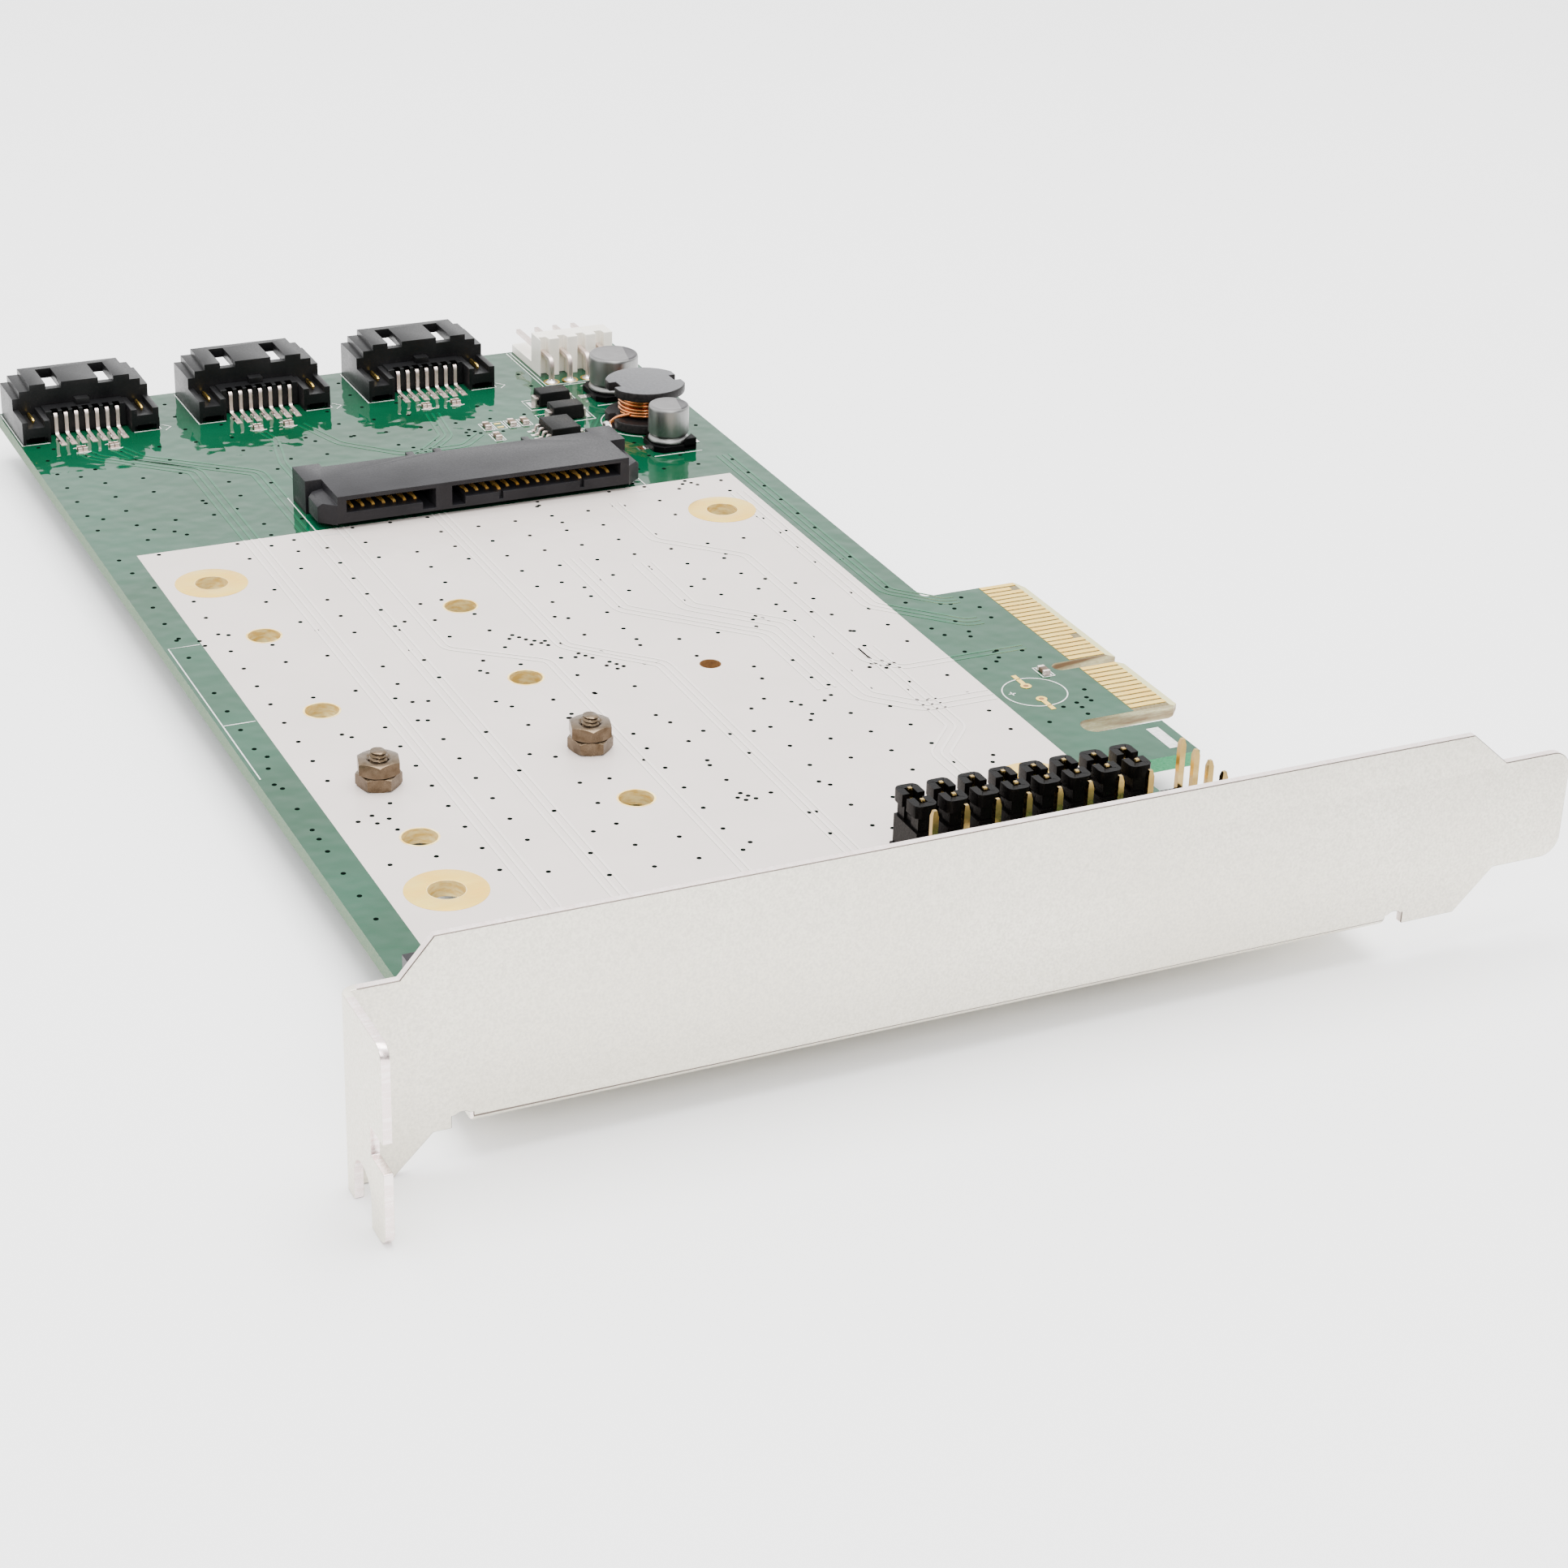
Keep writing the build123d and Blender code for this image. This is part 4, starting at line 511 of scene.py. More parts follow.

# The bracket.
# A blanked and folded steel sheet, zinc plated. Its faces have a fine speckle, and the sheared
# edges are brighter, a little pink, with fine tears across them. A dark band along the outer corner
# of the edges is painted shade. Two screws hold it to the board.
def dress(name, node, made, bevel=0.08, segments=2):
    """A copy of a CAD node with its edges broken: merged, its flat faces joined, then bevelled."""
    mesh = NODES[node].data.copy()
    mesh.name = name
    work = bmesh.new()
    work.from_mesh(mesh)
    bmesh.ops.remove_doubles(work, verts=work.verts, dist=1e-6)
    bmesh.ops.dissolve_limit(work, angle_limit=0.01, verts=work.verts, edges=work.edges)
    work.to_mesh(mesh)
    work.free()
    mesh.polygons.foreach_set("use_smooth", np.ones(len(mesh.polygons), bool))
    mesh.materials.clear()
    mesh.materials.append(made)
    piece = bpy.data.objects.new(name, mesh)
    bpy.context.scene.collection.objects.link(piece)
    edge = piece.modifiers.new("edge", "BEVEL")
    edge.width = bevel * MM
    edge.segments = segments
    edge.limit_method = "ANGLE"
    edge.angle_limit = 0.6
    edge.harden_normals = True
    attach(piece, "root")
    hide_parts(node)
    return piece


FOLD_Y = 104.6
FACE_INNER_X, FACE_OUTER_X = -57.05, -58.5
RIM_X = -57.83
TAB_X = -58.9
steel_finish, at = material("plated_steel", metallic=1.0, roughness=0.38)
grain = at.noise(4200.0, 3.0)
x, y, _ = at.split()
normal_x, normal_y = [n.math("ABSOLUTE") for n in at.normal()[:2]]
on_face = (x > FACE_OUTER_X * MM) * (y < FOLD_Y * MM) * (x < FACE_INNER_X * MM)
on_tab = x < TAB_X * MM
sheared = (on_face * (normal_x < 0.4) + on_tab * (normal_y < 0.4)).math("MINIMUM", 1.0)
sheet = at.noise(40.0, 2.0).ramp(0.3, 0.7).mix((0.80, 0.75, 0.64), (0.86, 0.82, 0.72))
face_tears = at.noise(1800.0, 2.0, (0.12, 1.0, 1.0)).ramp(0.3, 0.7)
tab_tears = at.noise(2600.0, 2.0, (1.0, 0.12, 1.0)).ramp(0.42, 0.58, -0.6, 1.0)
tears = on_tab * tab_tears + (1.0 - on_tab) * face_tears
# Painted shade: the edge and bevel faces nearest the outer face, x below RIM_X, get a dark band along that
# corner.
corner_shade = (x < RIM_X * MM) * (y < FOLD_Y * MM) * (normal_x < 0.94)
speckled = grain.ramp(0.35, 0.65).mix(sheet, (0.73, 0.69, 0.60))
torn = tears.mix((0.90, 0.76, 0.73), (1.0, 0.90, 0.87))
feed(steel_finish, Base_Color=corner_shade.mix(sheared.mix(speckled, torn), (0.16, 0.13, 0.115)),
     Roughness=grain.ramp(0.3, 0.7, 0.38, 0.54) - 0.16 * sheared,
     Bump=(grain * (1.0 - sheared * 0.8), 0.000012))
dress("bracket_sheet", "bracket", steel_finish, 0.12, 3)

screw_finish, at = material("screw_steel", metallic=1.0, roughness=0.3)
feed(screw_finish, Base_Color=at.noise(500.0).mix((0.36, 0.34, 0.30), (0.50, 0.48, 0.43)),
     Roughness=at.noise(1500.0).ramp(0.3, 0.7, 0.22, 0.4))


def pan_head(radius, height, recess, sides=64):
    """Screw head on z = 0. Its crown falls with the square of the radius, and a cross goes into it
    where one coordinate is short and the other one is not too long."""
    share = np.concatenate([np.linspace(0, 0.8, 26), np.linspace(0.82, 1.0, 10)])[:, None]
    angle = np.linspace(0, 2 * np.pi, sides, endpoint=False)
    x, y = share * radius * np.cos(angle), share * radius * np.sin(angle)
    crown = height * (1.0 - 0.25 * share ** 2 - 0.35 * np.clip((share - 0.8) / 0.2, 0, 1) ** 2)
    long, short = np.maximum(abs(x), abs(y)), np.minimum(abs(x), abs(y))
    inside = np.clip((recess - long) / 0.25, 0, 1) * np.clip((recess * 0.28 - short) / 0.08, 0, 1)
    top = np.stack([x, y, crown - 0.55 * height * inside + 0 * angle], -1)[::-1]
    return skin(np.concatenate([top[:1] * (1, 1, 0), top]))


def thread(radius, low, high, pitch=0.4, depth=0.2, sides=32):
    """Threaded rod about Z. Its radius is a triangle wave of height plus turn, and it tapers in at
    both ends."""
    height = np.arange(low, high + 0.001, pitch / 8)[:, None]
    angle = np.linspace(0, 2 * np.pi, sides, endpoint=False)
    wave = abs((height / pitch + angle / (2 * np.pi)) % 1.0 - 0.5) * 2
    taper = np.clip(np.minimum(high - height, height - low) / 0.25, 0, 1)
    around = (radius - depth * wave) * (0.82 + 0.18 * taper)
    return skin(np.stack([around * np.cos(angle), around * np.sin(angle), height + 0 * angle], -1))


bracket_screw = joined(pan_head(2.75, 1.9, 1.4), thread(1.45, -3.2, 0.05, 0.5, 0.15))
place("bracket_screw_pair", at_sites(bracket_screw, BRACKET_SCREW_SITES), screw_finish,
      "screw_steel", "bracket_screws")


# The cable ports.
# Black glass-filled shells. Seven tinned leads come out of each shell over a ledge, turn down and
# end in soldered feet. A gold hold-down blade stands in the groove of each arm. Flat black boxes
# at the mouths of the leads and in a slot of each arm are painted shadow.
def moulded(name, dark, light, rough, shine=0.35):
    """Moulded plastic: a fine matt grain, and a slow change of sheen from the flow of the melt."""
    made, at = material(name, roughness=rough, Specular_IOR_Level=shine)
    grain = at.noise(5200.0, 3.0)
    feed(made, Base_Color=at.noise(220.0, 3.0).ramp(0.3, 0.7).mix(dark, light),
         Roughness=grain.ramp(0.25, 0.75, rough - 0.06, rough + 0.1), Bump=(grain, 0.000012))
    return made


port_finish = moulded("port_plastic", (0.0045, 0.0045, 0.005), (0.009, 0.009, 0.0095), 0.34, 0.2)
# Painted shadow: a matt black with no sheen, for the boxes that stand in for shade in the ports.
painted_shadow_finish = moulded("painted_shadow", (0.0005, 0.0005, 0.0005), (0.001, 0.001, 0.001), 0.7, 0.0)
tin_finish, at = material("tin", metallic=1.0, roughness=0.4)
feed(tin_finish, Base_Color=at.noise(1200.0, 3.0).mix((0.62, 0.50, 0.45), (0.80, 0.70, 0.66)),
     Roughness=at.noise(2500.0).ramp(0.3, 0.7, 0.34, 0.50))
contact_finish, at = material("contact_gold", metallic=1.0, roughness=0.25)
feed(contact_finish, Base_Color=at.noise(700.0, 3.0).mix((0.26, 0.175, 0.06), (0.58, 0.42, 0.17)),
     Roughness=at.noise(2500.0).ramp(0.3, 0.7, 0.08, 0.18))
solder_finish, at = material("solder", metallic=1.0, roughness=0.2)
feed(solder_finish, Base_Color=at.noise(1800.0).mix((0.66, 0.64, 0.62), (0.86, 0.84, 0.82)),
     Bump=(at.noise(2500.0), 0.00002))
ceramic_finish = moulded("ceramic", (0.06, 0.035, 0.02), (0.12, 0.08, 0.05), 0.4, 0.2)

CONTACT_PITCH = 1.27
ARM_Y = 6.7
PAD_Z, PAD_T = 0.03, 0.05
port_lead = bar(rounded([(112.2, 0, 2.75), (104.45, 0, 2.75), (104.45, 0, 0.15), (101.25, 0, 0.15)], 0.5),
                ALONG_Y, 0.42, 0.24)
port_foot = turned([(0.42, 0.0), (0.36, 0.1), (0.2, 0.2), (0.05, 0.24)], 12)
port_foot = (port_foot[0] * (1.6, 1.0, 1.0), port_foot[1])
port_pad = bar([(100.7, 0, PAD_Z), (103.4, 0, PAD_Z)], ALONG_Y, 0.72, PAD_T)
arm_blade = bar([(103.9, 0, 2.3), (104.1, 0, 2.42), (106.5, 0, 2.42), (106.6, 0, 2.3)], ALONG_Y, 0.2, 0.5)
chip_body = bar([(-0.26, 0, 0.22), (0.26, 0, 0.22)], ALONG_Y, 0.5, 0.42)
chip_end = joined(bar([(-0.5, 0, 0.225), (-0.26, 0, 0.225)], ALONG_Y, 0.52, 0.45),
                  bar([(0.26, 0, 0.225), (0.5, 0, 0.225)], ALONG_Y, 0.52, 0.45),
                  bar([(-0.85, 0, PAD_Z), (-0.4, 0, PAD_Z)], ALONG_Y, 0.6, PAD_T),
                  bar([(0.4, 0, PAD_Z), (0.85, 0, PAD_Z)], ALONG_Y, 0.6, PAD_T))
# Painted shadow boxes: one at the mouth of each lead, one in the slot of each arm.
lead_mouth_shadow = bar([(104.72, 0, 2.84), (105.5, 0, 2.84)], ALONG_Y, 0.78, 0.54)
ledge = bar([(104.75, 0, 1.62), (107.2, 0, 1.62)], ALONG_Y, 10.0, 2.9)
arm_slot_shadow = bar([(102.32, 0, 0.55), (102.6, 0, 0.55)], ALONG_Y, 1.9, 0.5)
arm_foot = bar([(103.2, -8.35, 0.6), (104.7, -8.35, 0.6)], ALONG_Y, 0.7, 1.2)
for number, port_y in enumerate(PORT_YS, start=1):
    dress(f"port_shell_{number}", f"port_housing_{number}", port_finish, 0.07)
    leads = [(0.0, port_y + CONTACT_PITCH * i) for i in range(-3, 4)]
    arms = [(0.0, port_y - ARM_Y), (0.0, port_y + ARM_Y)]
    place(f"port_leads_{number}", joined(at_sites(port_lead, leads), at_sites(port_pad, leads)),
          tin_finish, "tin", f"port_contacts_{number}")
    place(f"port_solder_{number}", at_sites(port_foot, [(102.3, y) for _, y in leads]), solder_finish, "tin")
    place(f"port_blades_{number}", at_sites(arm_blade, arms), gold_finish, "contact_gold")
    place(f"port_shadows_{number}", joined(at_sites(lead_mouth_shadow, leads), at_sites(arm_slot_shadow, arms)),
          painted_shadow_finish, "port_plastic")
    place(f"port_ledge_{number}", at_sites(joined(arm_foot, ledge), [(0, port_y)]), port_finish,
          "port_plastic", bevel=0.08)
    chips = [(98.5, port_y + y) for y in (-2.0, -1.4, 1.9, 2.5)]
    place(f"port_chips_{number}", at_sites(chip_body, chips), ceramic_finish, "ceramic")
    place(f"port_chip_ends_{number}", at_sites(chip_end, chips), tin_finish, "tin", bevel=0.04)

# The drive socket.
# One black moulding with a satin top. Gold contacts lie on the floor of its mouth, with only
# their tips in the light, and end in soldered feet behind it. They are a bright orange that is only
# partly metallic: a painted glint, so that their tips show in the dark mouth.
socket_finish = moulded("socket_plastic", (0.0095, 0.009, 0.0105), (0.015, 0.0145, 0.0165), 0.34, 0.16)
dress("drive_socket_body", "drive_socket_housing", socket_finish, 0.08)
# Painted glint: a bright, partly diffuse orange in place of the gold's own reflection.
tip_glint_finish, at = material("contact_tip_glint", metallic=0.4, roughness=0.3)
feed(tip_glint_finish, Base_Color=at.noise(700.0, 3.0).ramp(0.3, 0.7).mix((0.85, 0.42, 0.07), (1.0, 0.60, 0.16)))
LONG_BLADES = (3, 11)
blade_ys = [33.03 + CONTACT_PITCH * i for i in range(15)] + [57.16 + CONTACT_PITCH * i for i in range(7)]
# Points of the path with the narrow tip's width, and with the full width behind it.
TIP_POINTS, REAR_POINTS = 11, 16
blades = []
for i, y in enumerate(blade_ys):
    tip_x = 64.0 if i in LONG_BLADES else 64.6
    blade = [(tip_x, y, 2.06), (tip_x + 0.2, y, 2.16), (tip_x + 0.7, y, 2.2), (tip_x + 1.9, y, 2.12),
             (73.5, y, 2.12), (73.5, y, 0.1), (75.0, y, 0.1)]
    width = np.repeat((0.34, 0.6), (TIP_POINTS, REAR_POINTS))
    blades.append(bar(rounded(blade, 0.12), ALONG_Y, width, 0.16))
place("drive_socket_blades", joined(*blades), tip_glint_finish, "contact_gold", "drive_socket_contacts")

# The jumper block and the spare header.
# Gold pins stand in black moulded headers. Each cap is a block with two rounded humps that are
# open towards each other, over a folded spring clip.
header_finish = moulded("header_plastic", (0.0012, 0.0011, 0.0012), (0.003, 0.0028, 0.003), 0.42, 0.05)
cap_finish = moulded("cap_plastic", (0.0012, 0.0010, 0.0010), (0.003, 0.0026, 0.0026), 0.3, 0.05)
JUMPER_YS = [20.5 + 3.27 * i for i in range(8)]
JUMPER_XS = [-39.9, -37.36, -34.82]
SPARE_XS = [-42.72, -40.18, -37.64, -35.1]
SPARE_Y = 14.1
CAP_X = -36.09
block = [bar([(CAP_X, 0, 2.56), (CAP_X, 0, 5.5)], ALONG_Y, 1.95, 4.7),
         bar([(CAP_X, 0, 5.4), (CAP_X, 0, 6.3)], ALONG_Y, 1.1, 1.2)]
for side in (-1, 1):
    middle = CAP_X + side * 1.42
    block.append(bar([(middle, 0, 5.4), (middle, 0, 7.2)], ALONG_Y, 1.5, 1.4))
    hump = [(middle - side * 0.98, -0.79, 7.66), (middle + side * 0.64, -0.79, 7.66),
            (middle + side * 0.64, 0.79, 7.66), (middle - side * 0.98, 0.79, 7.66)]
    block.append(bar(rounded(hump, 0.3, 4), UP, 1.26, 0.76))
for number, y in enumerate(JUMPER_YS, start=1):
    dress(f"jumper_header_{number}", f"jumper_base_{number}", header_finish, 0.12)
    place(f"jumper_{number}", at_sites(joined(*block), [(0, y)]), cap_finish, "cap_plastic",
          f"jumper_cap_{number}", bevel=0.16)
dress("spare_header", "spare_header_base", header_finish, 0.12)
pin = bar([(0, 0, -2.86), (0, 0, -2.6), (0, 0, 7.9), (0, 0, 8.5)], ALONG_Y,
          [0.3, 0.62, 0.62, 0.34], [0.3, 0.62, 0.62, 0.34])
place("jumper_pin_rows", at_sites(pin, [(x, y) for x in JUMPER_XS for y in JUMPER_YS]), contact_finish,
      "contact_gold", "jumper_pins")
place("spare_pin_row", at_sites(pin, [(x, SPARE_Y) for x in SPARE_XS]), contact_finish,
      "contact_gold", "spare_header_pins")
clip = joined(bar([(-1.2, 0.41, 7.2), (1.2, 0.41, 7.2)], ALONG_Y, 0.12, 0.88),
              bar([(-1.87, -0.42, 4.5), (1.87, -0.42, 4.5)], ALONG_Y, 0.1, 2.92))
place("cap_springs", at_sites(clip, [(CAP_X, y) for y in JUMPER_YS]), tin_finish, "contact_gold",
      "jumper_clips")

# The power header.
# Natural nylon, a little translucent, with a groove for each pin. The tinned pins bend down from
# the wall into plated holes, with a ring of solder round each.
ivory_finish = moulded("ivory_plastic", (0.80, 0.76, 0.66), (0.88, 0.85, 0.77), 0.36, 0.3)
POWER_YS = [18.14, 20.68, 23.22, 25.76]
POWER_PIN_X = 101.6
WALL_X, GROOVE_X, WALL_END_X, WALL_H = 103.9, 105.0, 107.1, 5.0
stations = [(16.39, WALL_X)]
for y in POWER_YS:
    stations += [(y - 0.57, WALL_X), (y - 0.53, GROOVE_X), (y + 0.53, GROOVE_X), (y + 0.57, WALL_X)]
stations.append((26.45, WALL_X))
wall = skin([[(x, y, 0.0), (WALL_END_X, y, 0.0), (WALL_END_X, y, WALL_H), (x, y, WALL_H)]
             for y, x in stations])
plate = bar([(107.0, 21.42, 0.55), (114.2, 21.42, 0.55)], ALONG_Y, 10.06, 1.1)
place("power_header", joined(wall, plate), ivory_finish, "ivory_plastic", "power_header_housing",
      bevel=0.08)
power_pin = bar(rounded([(113.68, 0, 3.0), (POWER_PIN_X, 0, 3.0), (POWER_PIN_X, 0, -2.86)], 1.0, 8),
                ALONG_Y, 0.6, 0.6)
place("power_pin_row", at_sites(power_pin, [(0, y) for y in POWER_YS]), tin_finish, "tin",
      "power_header_pins", bevel=0.08)
TAIL_SITES = [(x, y) for x in JUMPER_XS for y in JUMPER_YS] + [(x, SPARE_Y) for x in SPARE_XS]
POWER_SITES = [(POWER_PIN_X, y) for y in POWER_YS]
TAIL_SITES += POWER_SITES
cone = turned([(0.98, -1.6), (0.9, -1.68), (0.6, -1.95), (0.42, -2.35), (0.36, -2.6)], 20)
collar = turned([(0.85, 0.0), (0.82, 0.05), (0.6, 0.12), (0.42, 0.3), (0.36, 0.5)], 20)
place("pin_solder", joined(at_sites(cone, TAIL_SITES), at_sites(collar, POWER_SITES)), solder_finish, "tin")
pad_ring = turned([(0.5, 0.0), (1.05, 0.0), (1.05, 0.03), (0.5, 0.03)], 24, True)
place("pin_pads", joined(at_sites(pad_ring, TAIL_SITES), at_sites(pad_ring, TAIL_SITES, -BOARD_T - 0.03)),
      gold_finish, "gold")


# The can capacitors.
# Each is a drawn aluminium can, crimped to a rubber plug over a black moulded base. Its coated
# top has a dark segment on the negative side.
def can_top(name, x0, y0, radius, top):
    """Satin aluminium with a white coating on the top and a dark segment at its low-Y side."""
    made, at = material(name, metallic=1.0, roughness=0.3)
    x, y, z = at.split()
    coated = z > (top - 0.12) * MM
    across = (y - y0 * MM) * -1.0 - (x - x0 * MM) * 0.23
    segment = across > radius * 0.5 * MM
    drawn = at.noise(900.0, 3.0, (1.0, 1.0, 0.06)).ramp(0.3, 0.7)
    coat = segment.mix((0.115, 0.11, 0.11), (0.03, 0.027, 0.03))
    feed(made, Base_Color=coated.mix(drawn.mix((0.20, 0.20, 0.195), (0.28, 0.28, 0.275)), coat),
         Metallic=1.0 - coated * 0.85, Roughness=drawn.ramp(0.0, 1.0, 0.36, 0.46))
    return made


for size, x0, y0, r in (("large", 95.1, 19.85, 3.15), ("small", 75.5, 20.55, 2.5)):
    can_shape = turned([(r - 0.35, 0.76), (r - 0.12, 0.8), (r - 0.02, 0.9), (r, 1.02), (r - 0.02, 1.16),
                        (r - 0.14, 1.3), (r - 0.26, 1.42), (r - 0.28, 1.55), (r - 0.2, 1.68),
                        (r - 0.06, 1.8), (r, 1.95), (r, 4.95), (r - 0.03, 5.12), (r - 0.12, 5.28),
                        (r - 0.26, 5.37), (r - 0.42, 5.4), (r - 0.55, 5.36), (r - 0.9, 5.34)], 64)
    place(f"{size}_can_shell", at_sites(can_shape, [(x0, y0)]), can_top(f"{size}_can", x0, y0, r, 5.4),
          "can_aluminium", f"{size}_can")
    half = r + 0.15
    low = [(x0 + half, y0 - half), (x0 + half, y0 + half - 1.0), (x0 + half - 1.0, y0 + half),
           (x0 - half + 1.0, y0 + half), (x0 - half, y0 + half - 1.0), (x0 - half, y0 - half)]
    plate = skin([[(x, y, z) for x, y in low] for z in (0.0, 0.78)])
    leg = 0.58 * r + 0.25
    post = [(x0 - half, y0 - half), (x0 - half, y0 - half + leg), (x0 - half + leg, y0 - half)]
    post = skin([[(x, y, z) for x, y in post] for z in (0.3, 1.55)])
    place(f"{size}_base", joined(plate, post), header_finish, "header_plastic", f"{size}_can_base",
          bevel=0.08)
    pad_ys = [y0 - (r + 0.75), y0 + (r + 0.75)]
    pads = [bar([(x0 - 0.6, y, PAD_Z), (x0 + 0.6, y, PAD_Z)], UP, PAD_T, 1.5) for y in pad_ys]
    place(f"{size}_can_pads", joined(*pads), solder_finish, "tin")


# The choke.
# A ground ferrite drum, notched at both sides, with two layers of about five turns of enamelled
# copper wire between its flanges. Its ends go down to tinned terminals in beads of solder.
def wire(path, radius, sides=10):
    """Round wire: at each point of a path that is nowhere upright, a circle of that radius in the
    plane that is square to the path."""
    path = np.asarray(path, float)
    run = np.gradient(path, axis=0)
    side = np.cross(run, UP)
    side /= np.linalg.norm(side, axis=1, keepdims=True)
    up = np.cross(side, run)
    up /= np.linalg.norm(up, axis=1, keepdims=True)
    angle = np.linspace(0, 2 * np.pi, sides, endpoint=False)[:, None]
    return skin(path[:, None] + radius * (np.cos(angle) * side[:, None] + np.sin(angle) * up[:, None]))


ferrite_finish, at = material("ferrite", roughness=0.4, Specular_IOR_Level=0.12)
DRUM_TOP = 5.34
ground = (at.split()[2] > DRUM_TOP * MM) * at.normal()[2].ramp(0.6, 0.95)
speck = at.noise(2600.0, 4.0).ramp(0.3, 0.7)
feed(ferrite_finish, Base_Color=ground.mix(speck.mix((0.010, 0.009, 0.009), (0.020, 0.018, 0.018)),
                                           speck.mix((0.08, 0.08, 0.083), (0.12, 0.12, 0.126))),
     Roughness=speck.ramp(0.0, 1.0, 0.34, 0.48), Bump=(speck, 0.000012))
dress("choke_drum", "choke_core", ferrite_finish, 0.14, 3)
copper_finish, at = material("copper", metallic=1.0, roughness=0.22, Coat_Weight=0.6)
feed(copper_finish, Base_Color=at.noise(900.0, 2.0).mix((0.50, 0.13, 0.025), (0.80, 0.30, 0.09)))
coils = []
for layer, (reach, turns) in enumerate(((2.62, 5.4), (3.14, 5.0))):
    angle = np.linspace(0, 2 * np.pi * turns, int(turns * 36))
    height = 1.6 + np.linspace(0, 2.3, len(angle)) + 0.08 * np.sin(angle * 0.7 + layer)
    coil_x = CHOKE[0] + reach * np.cos(angle + 1.6)
    coil_y = CHOKE[1] + reach * np.sin(angle + 1.6)
    coils.append(wire(np.column_stack([coil_x, coil_y, height]), 0.25))
for side in (-1, 1):
    end = [(-1.8 * side, 2.7 * side, 1.9), (-0.4 * side, 4.0 * side, 1.2), (0.0, 4.75 * side, 0.35)]
    coils.append(wire(rounded(np.add(end, (*CHOKE, 0.0)), 0.7), 0.24))
place("choke_wire", joined(*coils), copper_finish, "copper", "choke_winding")
bead = turned([(1.5, 0.0), (1.42, 0.12), (1.0, 0.36), (0.5, 0.56), (0.1, 0.62)], 24)
bead = (bead[0] * (1.0, 0.42, 1.0), bead[1])
finish_node(solder_finish, "choke_terminals", "large_can_leads", "small_can_leads")
place("choke_solder", at_sites(bead, [(CHOKE[0], CHOKE[1] - 4.9), (CHOKE[0], CHOKE[1] + 4.9)]),
      solder_finish, "tin")

# The diodes, the regulator chip and the small chip parts.
# Moulded epoxy bodies, laser-grey on top, on tinned leads. The small parts are brown ceramic
# between tinned ends. All of them sit on solder pads.
resin_finish = moulded("black_resin", (0.0035, 0.0035, 0.0035), (0.007, 0.007, 0.007), 0.40, 0.10)
dress("diodes", "diode_bodies", resin_finish, 0.1)
dress("regulator", "regulator_body", resin_finish, 0.1)
finish_node(tin_finish, "diode_leads")
REGULATOR = (83.6, 31.7)
regulator_leads = [(REGULATOR[0] + CONTACT_PITCH * (i - 1.5), REGULATOR[1]) for i in range(4)]
chip_leads = []
for side in (-1, 1):
    knee = [(0, side * dy, z) for dy, z in ((1.9, 0.78), (2.35, 0.78), (2.55, 0.13), (2.95, 0.13))]
    lead = bar(rounded(knee, 0.15, 4), ALONG_X, 0.42, 0.18)
    chip_leads.append(at_sites(lead, regulator_leads))
place("regulator_pins", joined(*chip_leads), tin_finish, "tin", "regulator_leads")
dress("ceramic_chips", "chip_bodies", ceramic_finish, 0.05)
dress("ceramic_chip_ends", "chip_ends", tin_finish, 0.07)
pads = [bar([(x, y + side * 2.55, PAD_Z), (x, y + side * 3.1, PAD_Z)], ALONG_X, 2.2, PAD_T)
        for x, y in DIODE_SITES for side in (-1, 1)]
pads += [bar([(x, y + side * 2.5, PAD_Z), (x, y + side * 3.5, PAD_Z)], ALONG_X, 0.6, PAD_T)
         for x, y in regulator_leads for side in (-1, 1)]
pads += [bar([(x + side * 0.5, y, PAD_Z), (x + side * 1.1, y, PAD_Z)], ALONG_Y, 0.9, PAD_T)
         for x, y in SMALL_CHIP_SITES for side in (-1, 1)]
place("part_pads", joined(*pads), solder_finish, "tin")

# The storage card sockets.
# Low black mouldings behind the bracket. Gold springs reach into the mouth from above, and a row
# of tinned tails is soldered to the board behind.
CARD_PITCH, CARD_CONTACTS = 0.5, 34
CARD_KEY_Y, CARD_KEY_HALF = 6.1, 0.8
for number, socket_y in ((1, 83.5), (2, 61.3)):
    dress(f"card_socket_body_{number}", f"card_socket_{number}", socket_finish, 0.08)
    tail = bar(rounded([(-46.6, 0, 0.9), (-47.05, 0, 0.9), (-47.2, 0, 0.1), (-47.9, 0, 0.1)], 0.12, 4),
               ALONG_Y, 0.24, 0.14)
    spring = bar([(-42.6, 0, 2.5), (-40.2, 0, 2.36), (-39.2, 0, 2.5)], ALONG_Y, 0.24, 0.1)
    middle = (CARD_CONTACTS - 1) / 2
    tails = [(0.0, socket_y + CARD_PITCH * (i - middle)) for i in range(CARD_CONTACTS)]
    springs = [site for site in tails if abs(site[1] - socket_y - CARD_KEY_Y) > CARD_KEY_HALF]
    place(f"card_socket_tails_{number}", at_sites(tail, tails), tin_finish, "tin")
    place(f"card_socket_springs_{number}", at_sites(spring, springs), contact_finish, "contact_gold")


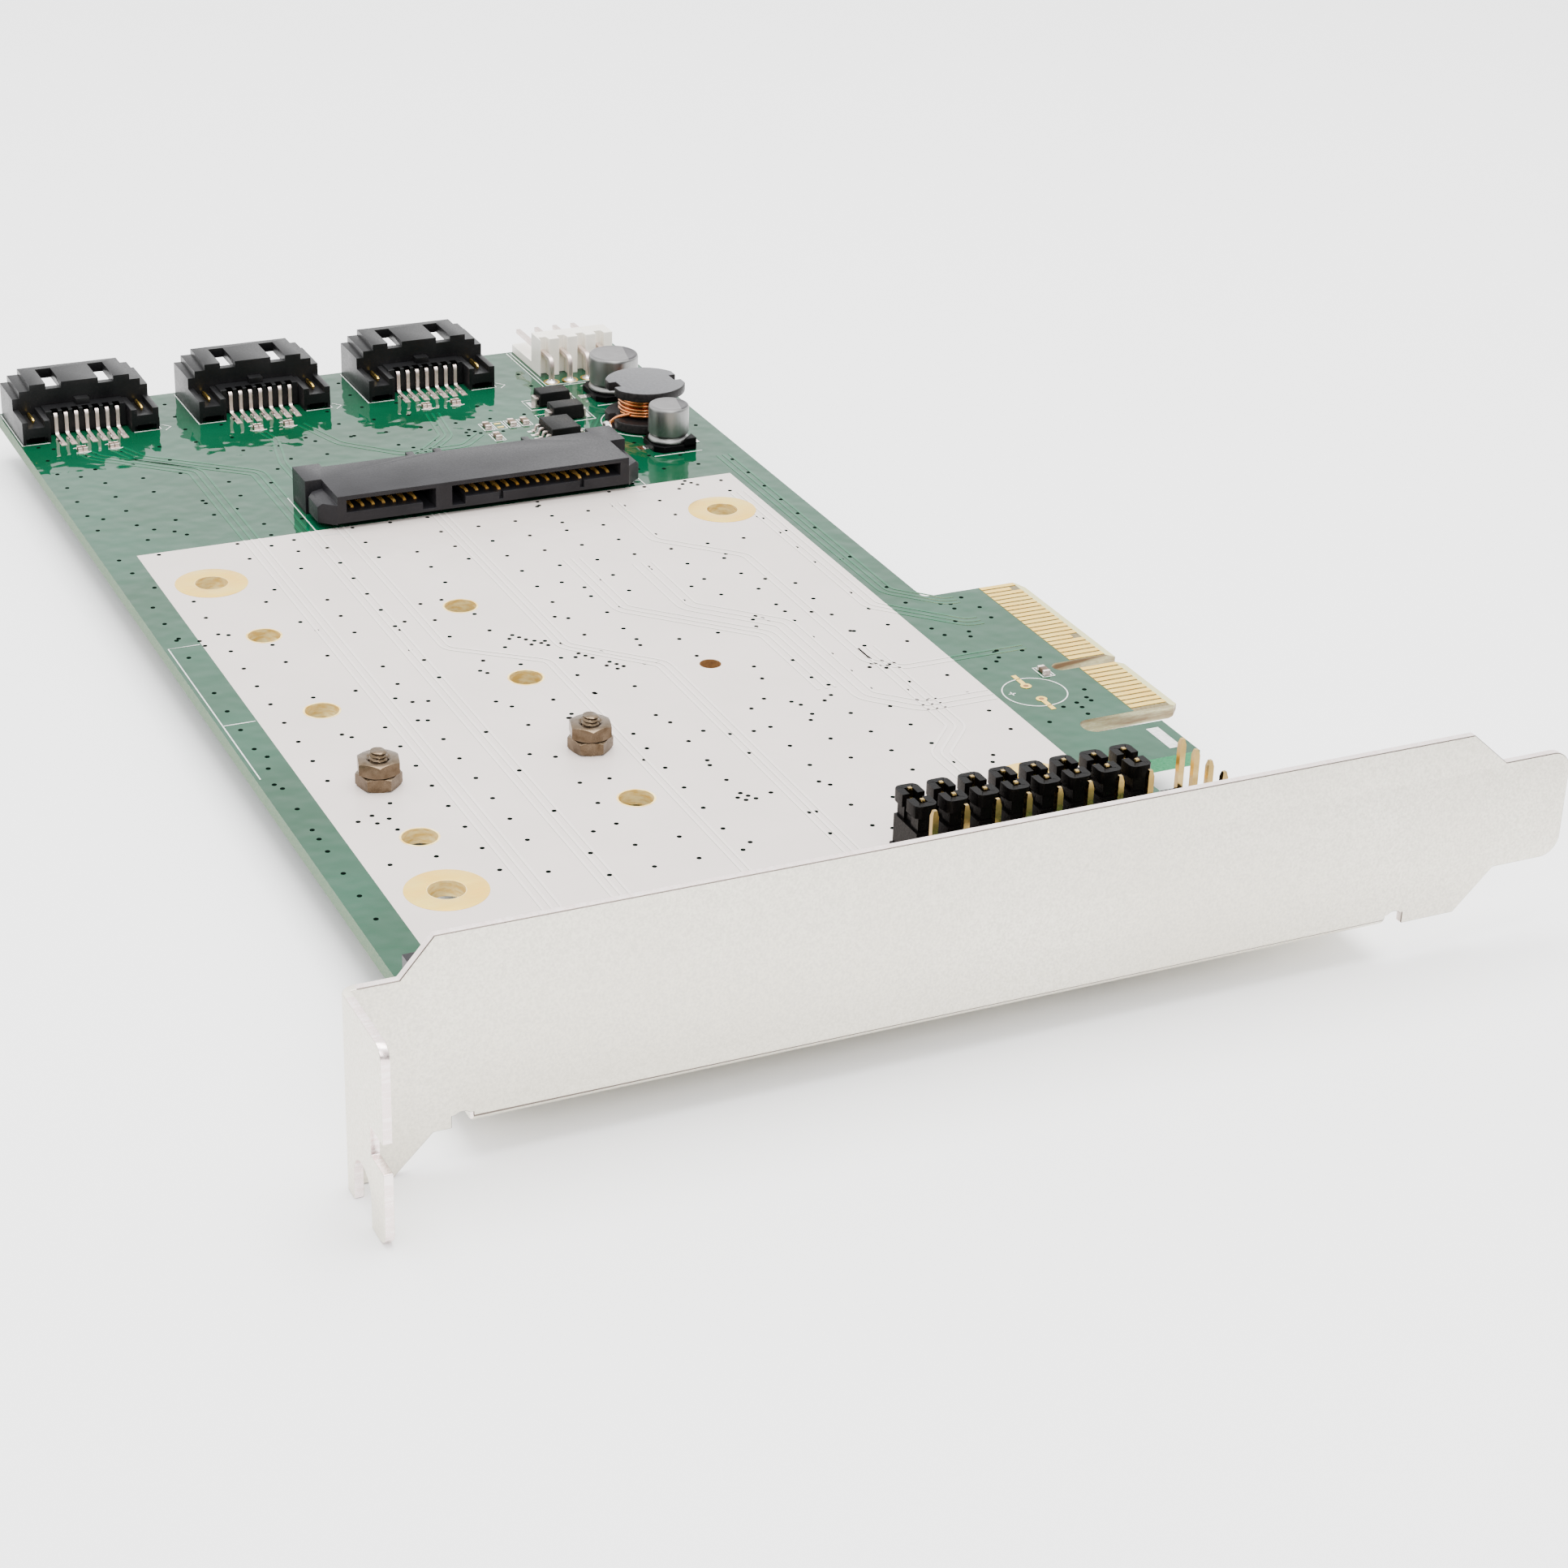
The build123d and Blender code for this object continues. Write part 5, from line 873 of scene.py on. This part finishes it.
# The nuts.
# Two nickel-plated hexagon nuts on a screw at one hole of each card row. Their corners are
# chamfered on the lathe, and the screw's thread stands out of the upper one.
def hexagon_nut(across, thick, bore, turn, sides=48):
    """Nut on z = 0. Its outer radius is that of a hexagon, and the end faces fall away outside the
    circle that touches the hexagon's flats."""
    angle = np.radians(turn) + np.linspace(0, 2 * np.pi, sides, endpoint=False)
    flat = across / 2 / np.cos((angle - np.radians(turn)) % (np.pi / 3) - np.pi / 6)
    drop = (flat - across / 2 * 0.97) * 0.55
    circle = np.full(sides, across / 2 * 0.97)
    rows = [(circle, 0 * drop), (flat, drop), (flat, thick - drop), (circle, thick + 0 * drop),
            (np.full(sides, bore + 0.28), thick + 0 * drop), (np.full(sides, bore), thick - 0.26 + 0 * drop),
            (np.full(sides, bore), 0.26 + 0 * drop), (np.full(sides, bore + 0.28), 0 * drop)]
    return skin([np.column_stack([r * np.cos(angle), r * np.sin(angle), z]) for r, z in rows], True)


STUD_SITES = [(-0.1, 83.5), (-0.1, 61.3)]
NUT_ACROSS, NUT_T, NUT_BORE = 4.0, 1.45, 0.96
LOWER_TURN, UPPER_TURN = 13, 46
nickel_finish, at = material("nickel", metallic=1.0, roughness=0.25)
stain = at.noise(1100.0, 4.0).ramp(0.3, 0.7)
feed(nickel_finish, Base_Color=stain.mix((0.085, 0.058, 0.034), (0.155, 0.115, 0.078)),
     Roughness=at.noise(1500.0, 3.0).ramp(0.3, 0.7, 0.18, 0.34))
place("nuts_lower", at_sites(hexagon_nut(NUT_ACROSS, NUT_T, NUT_BORE, LOWER_TURN), STUD_SITES),
      nickel_finish, "nickel", "lower_nuts")
place("nuts_upper", at_sites(hexagon_nut(NUT_ACROSS, NUT_T, NUT_BORE, UPPER_TURN), STUD_SITES, NUT_T),
      nickel_finish, "nickel", "upper_nuts")
under_head = pan_head(2.2, 1.3, 1.2)
under_head = (under_head[0] * (1, -1, -1) + (0, 0, -BOARD_T), under_head[1])
place("nut_screw_pair", at_sites(joined(thread(0.95, -1.6, 3.74), under_head), STUD_SITES),
      nickel_finish, "screw_steel", "nut_screws")
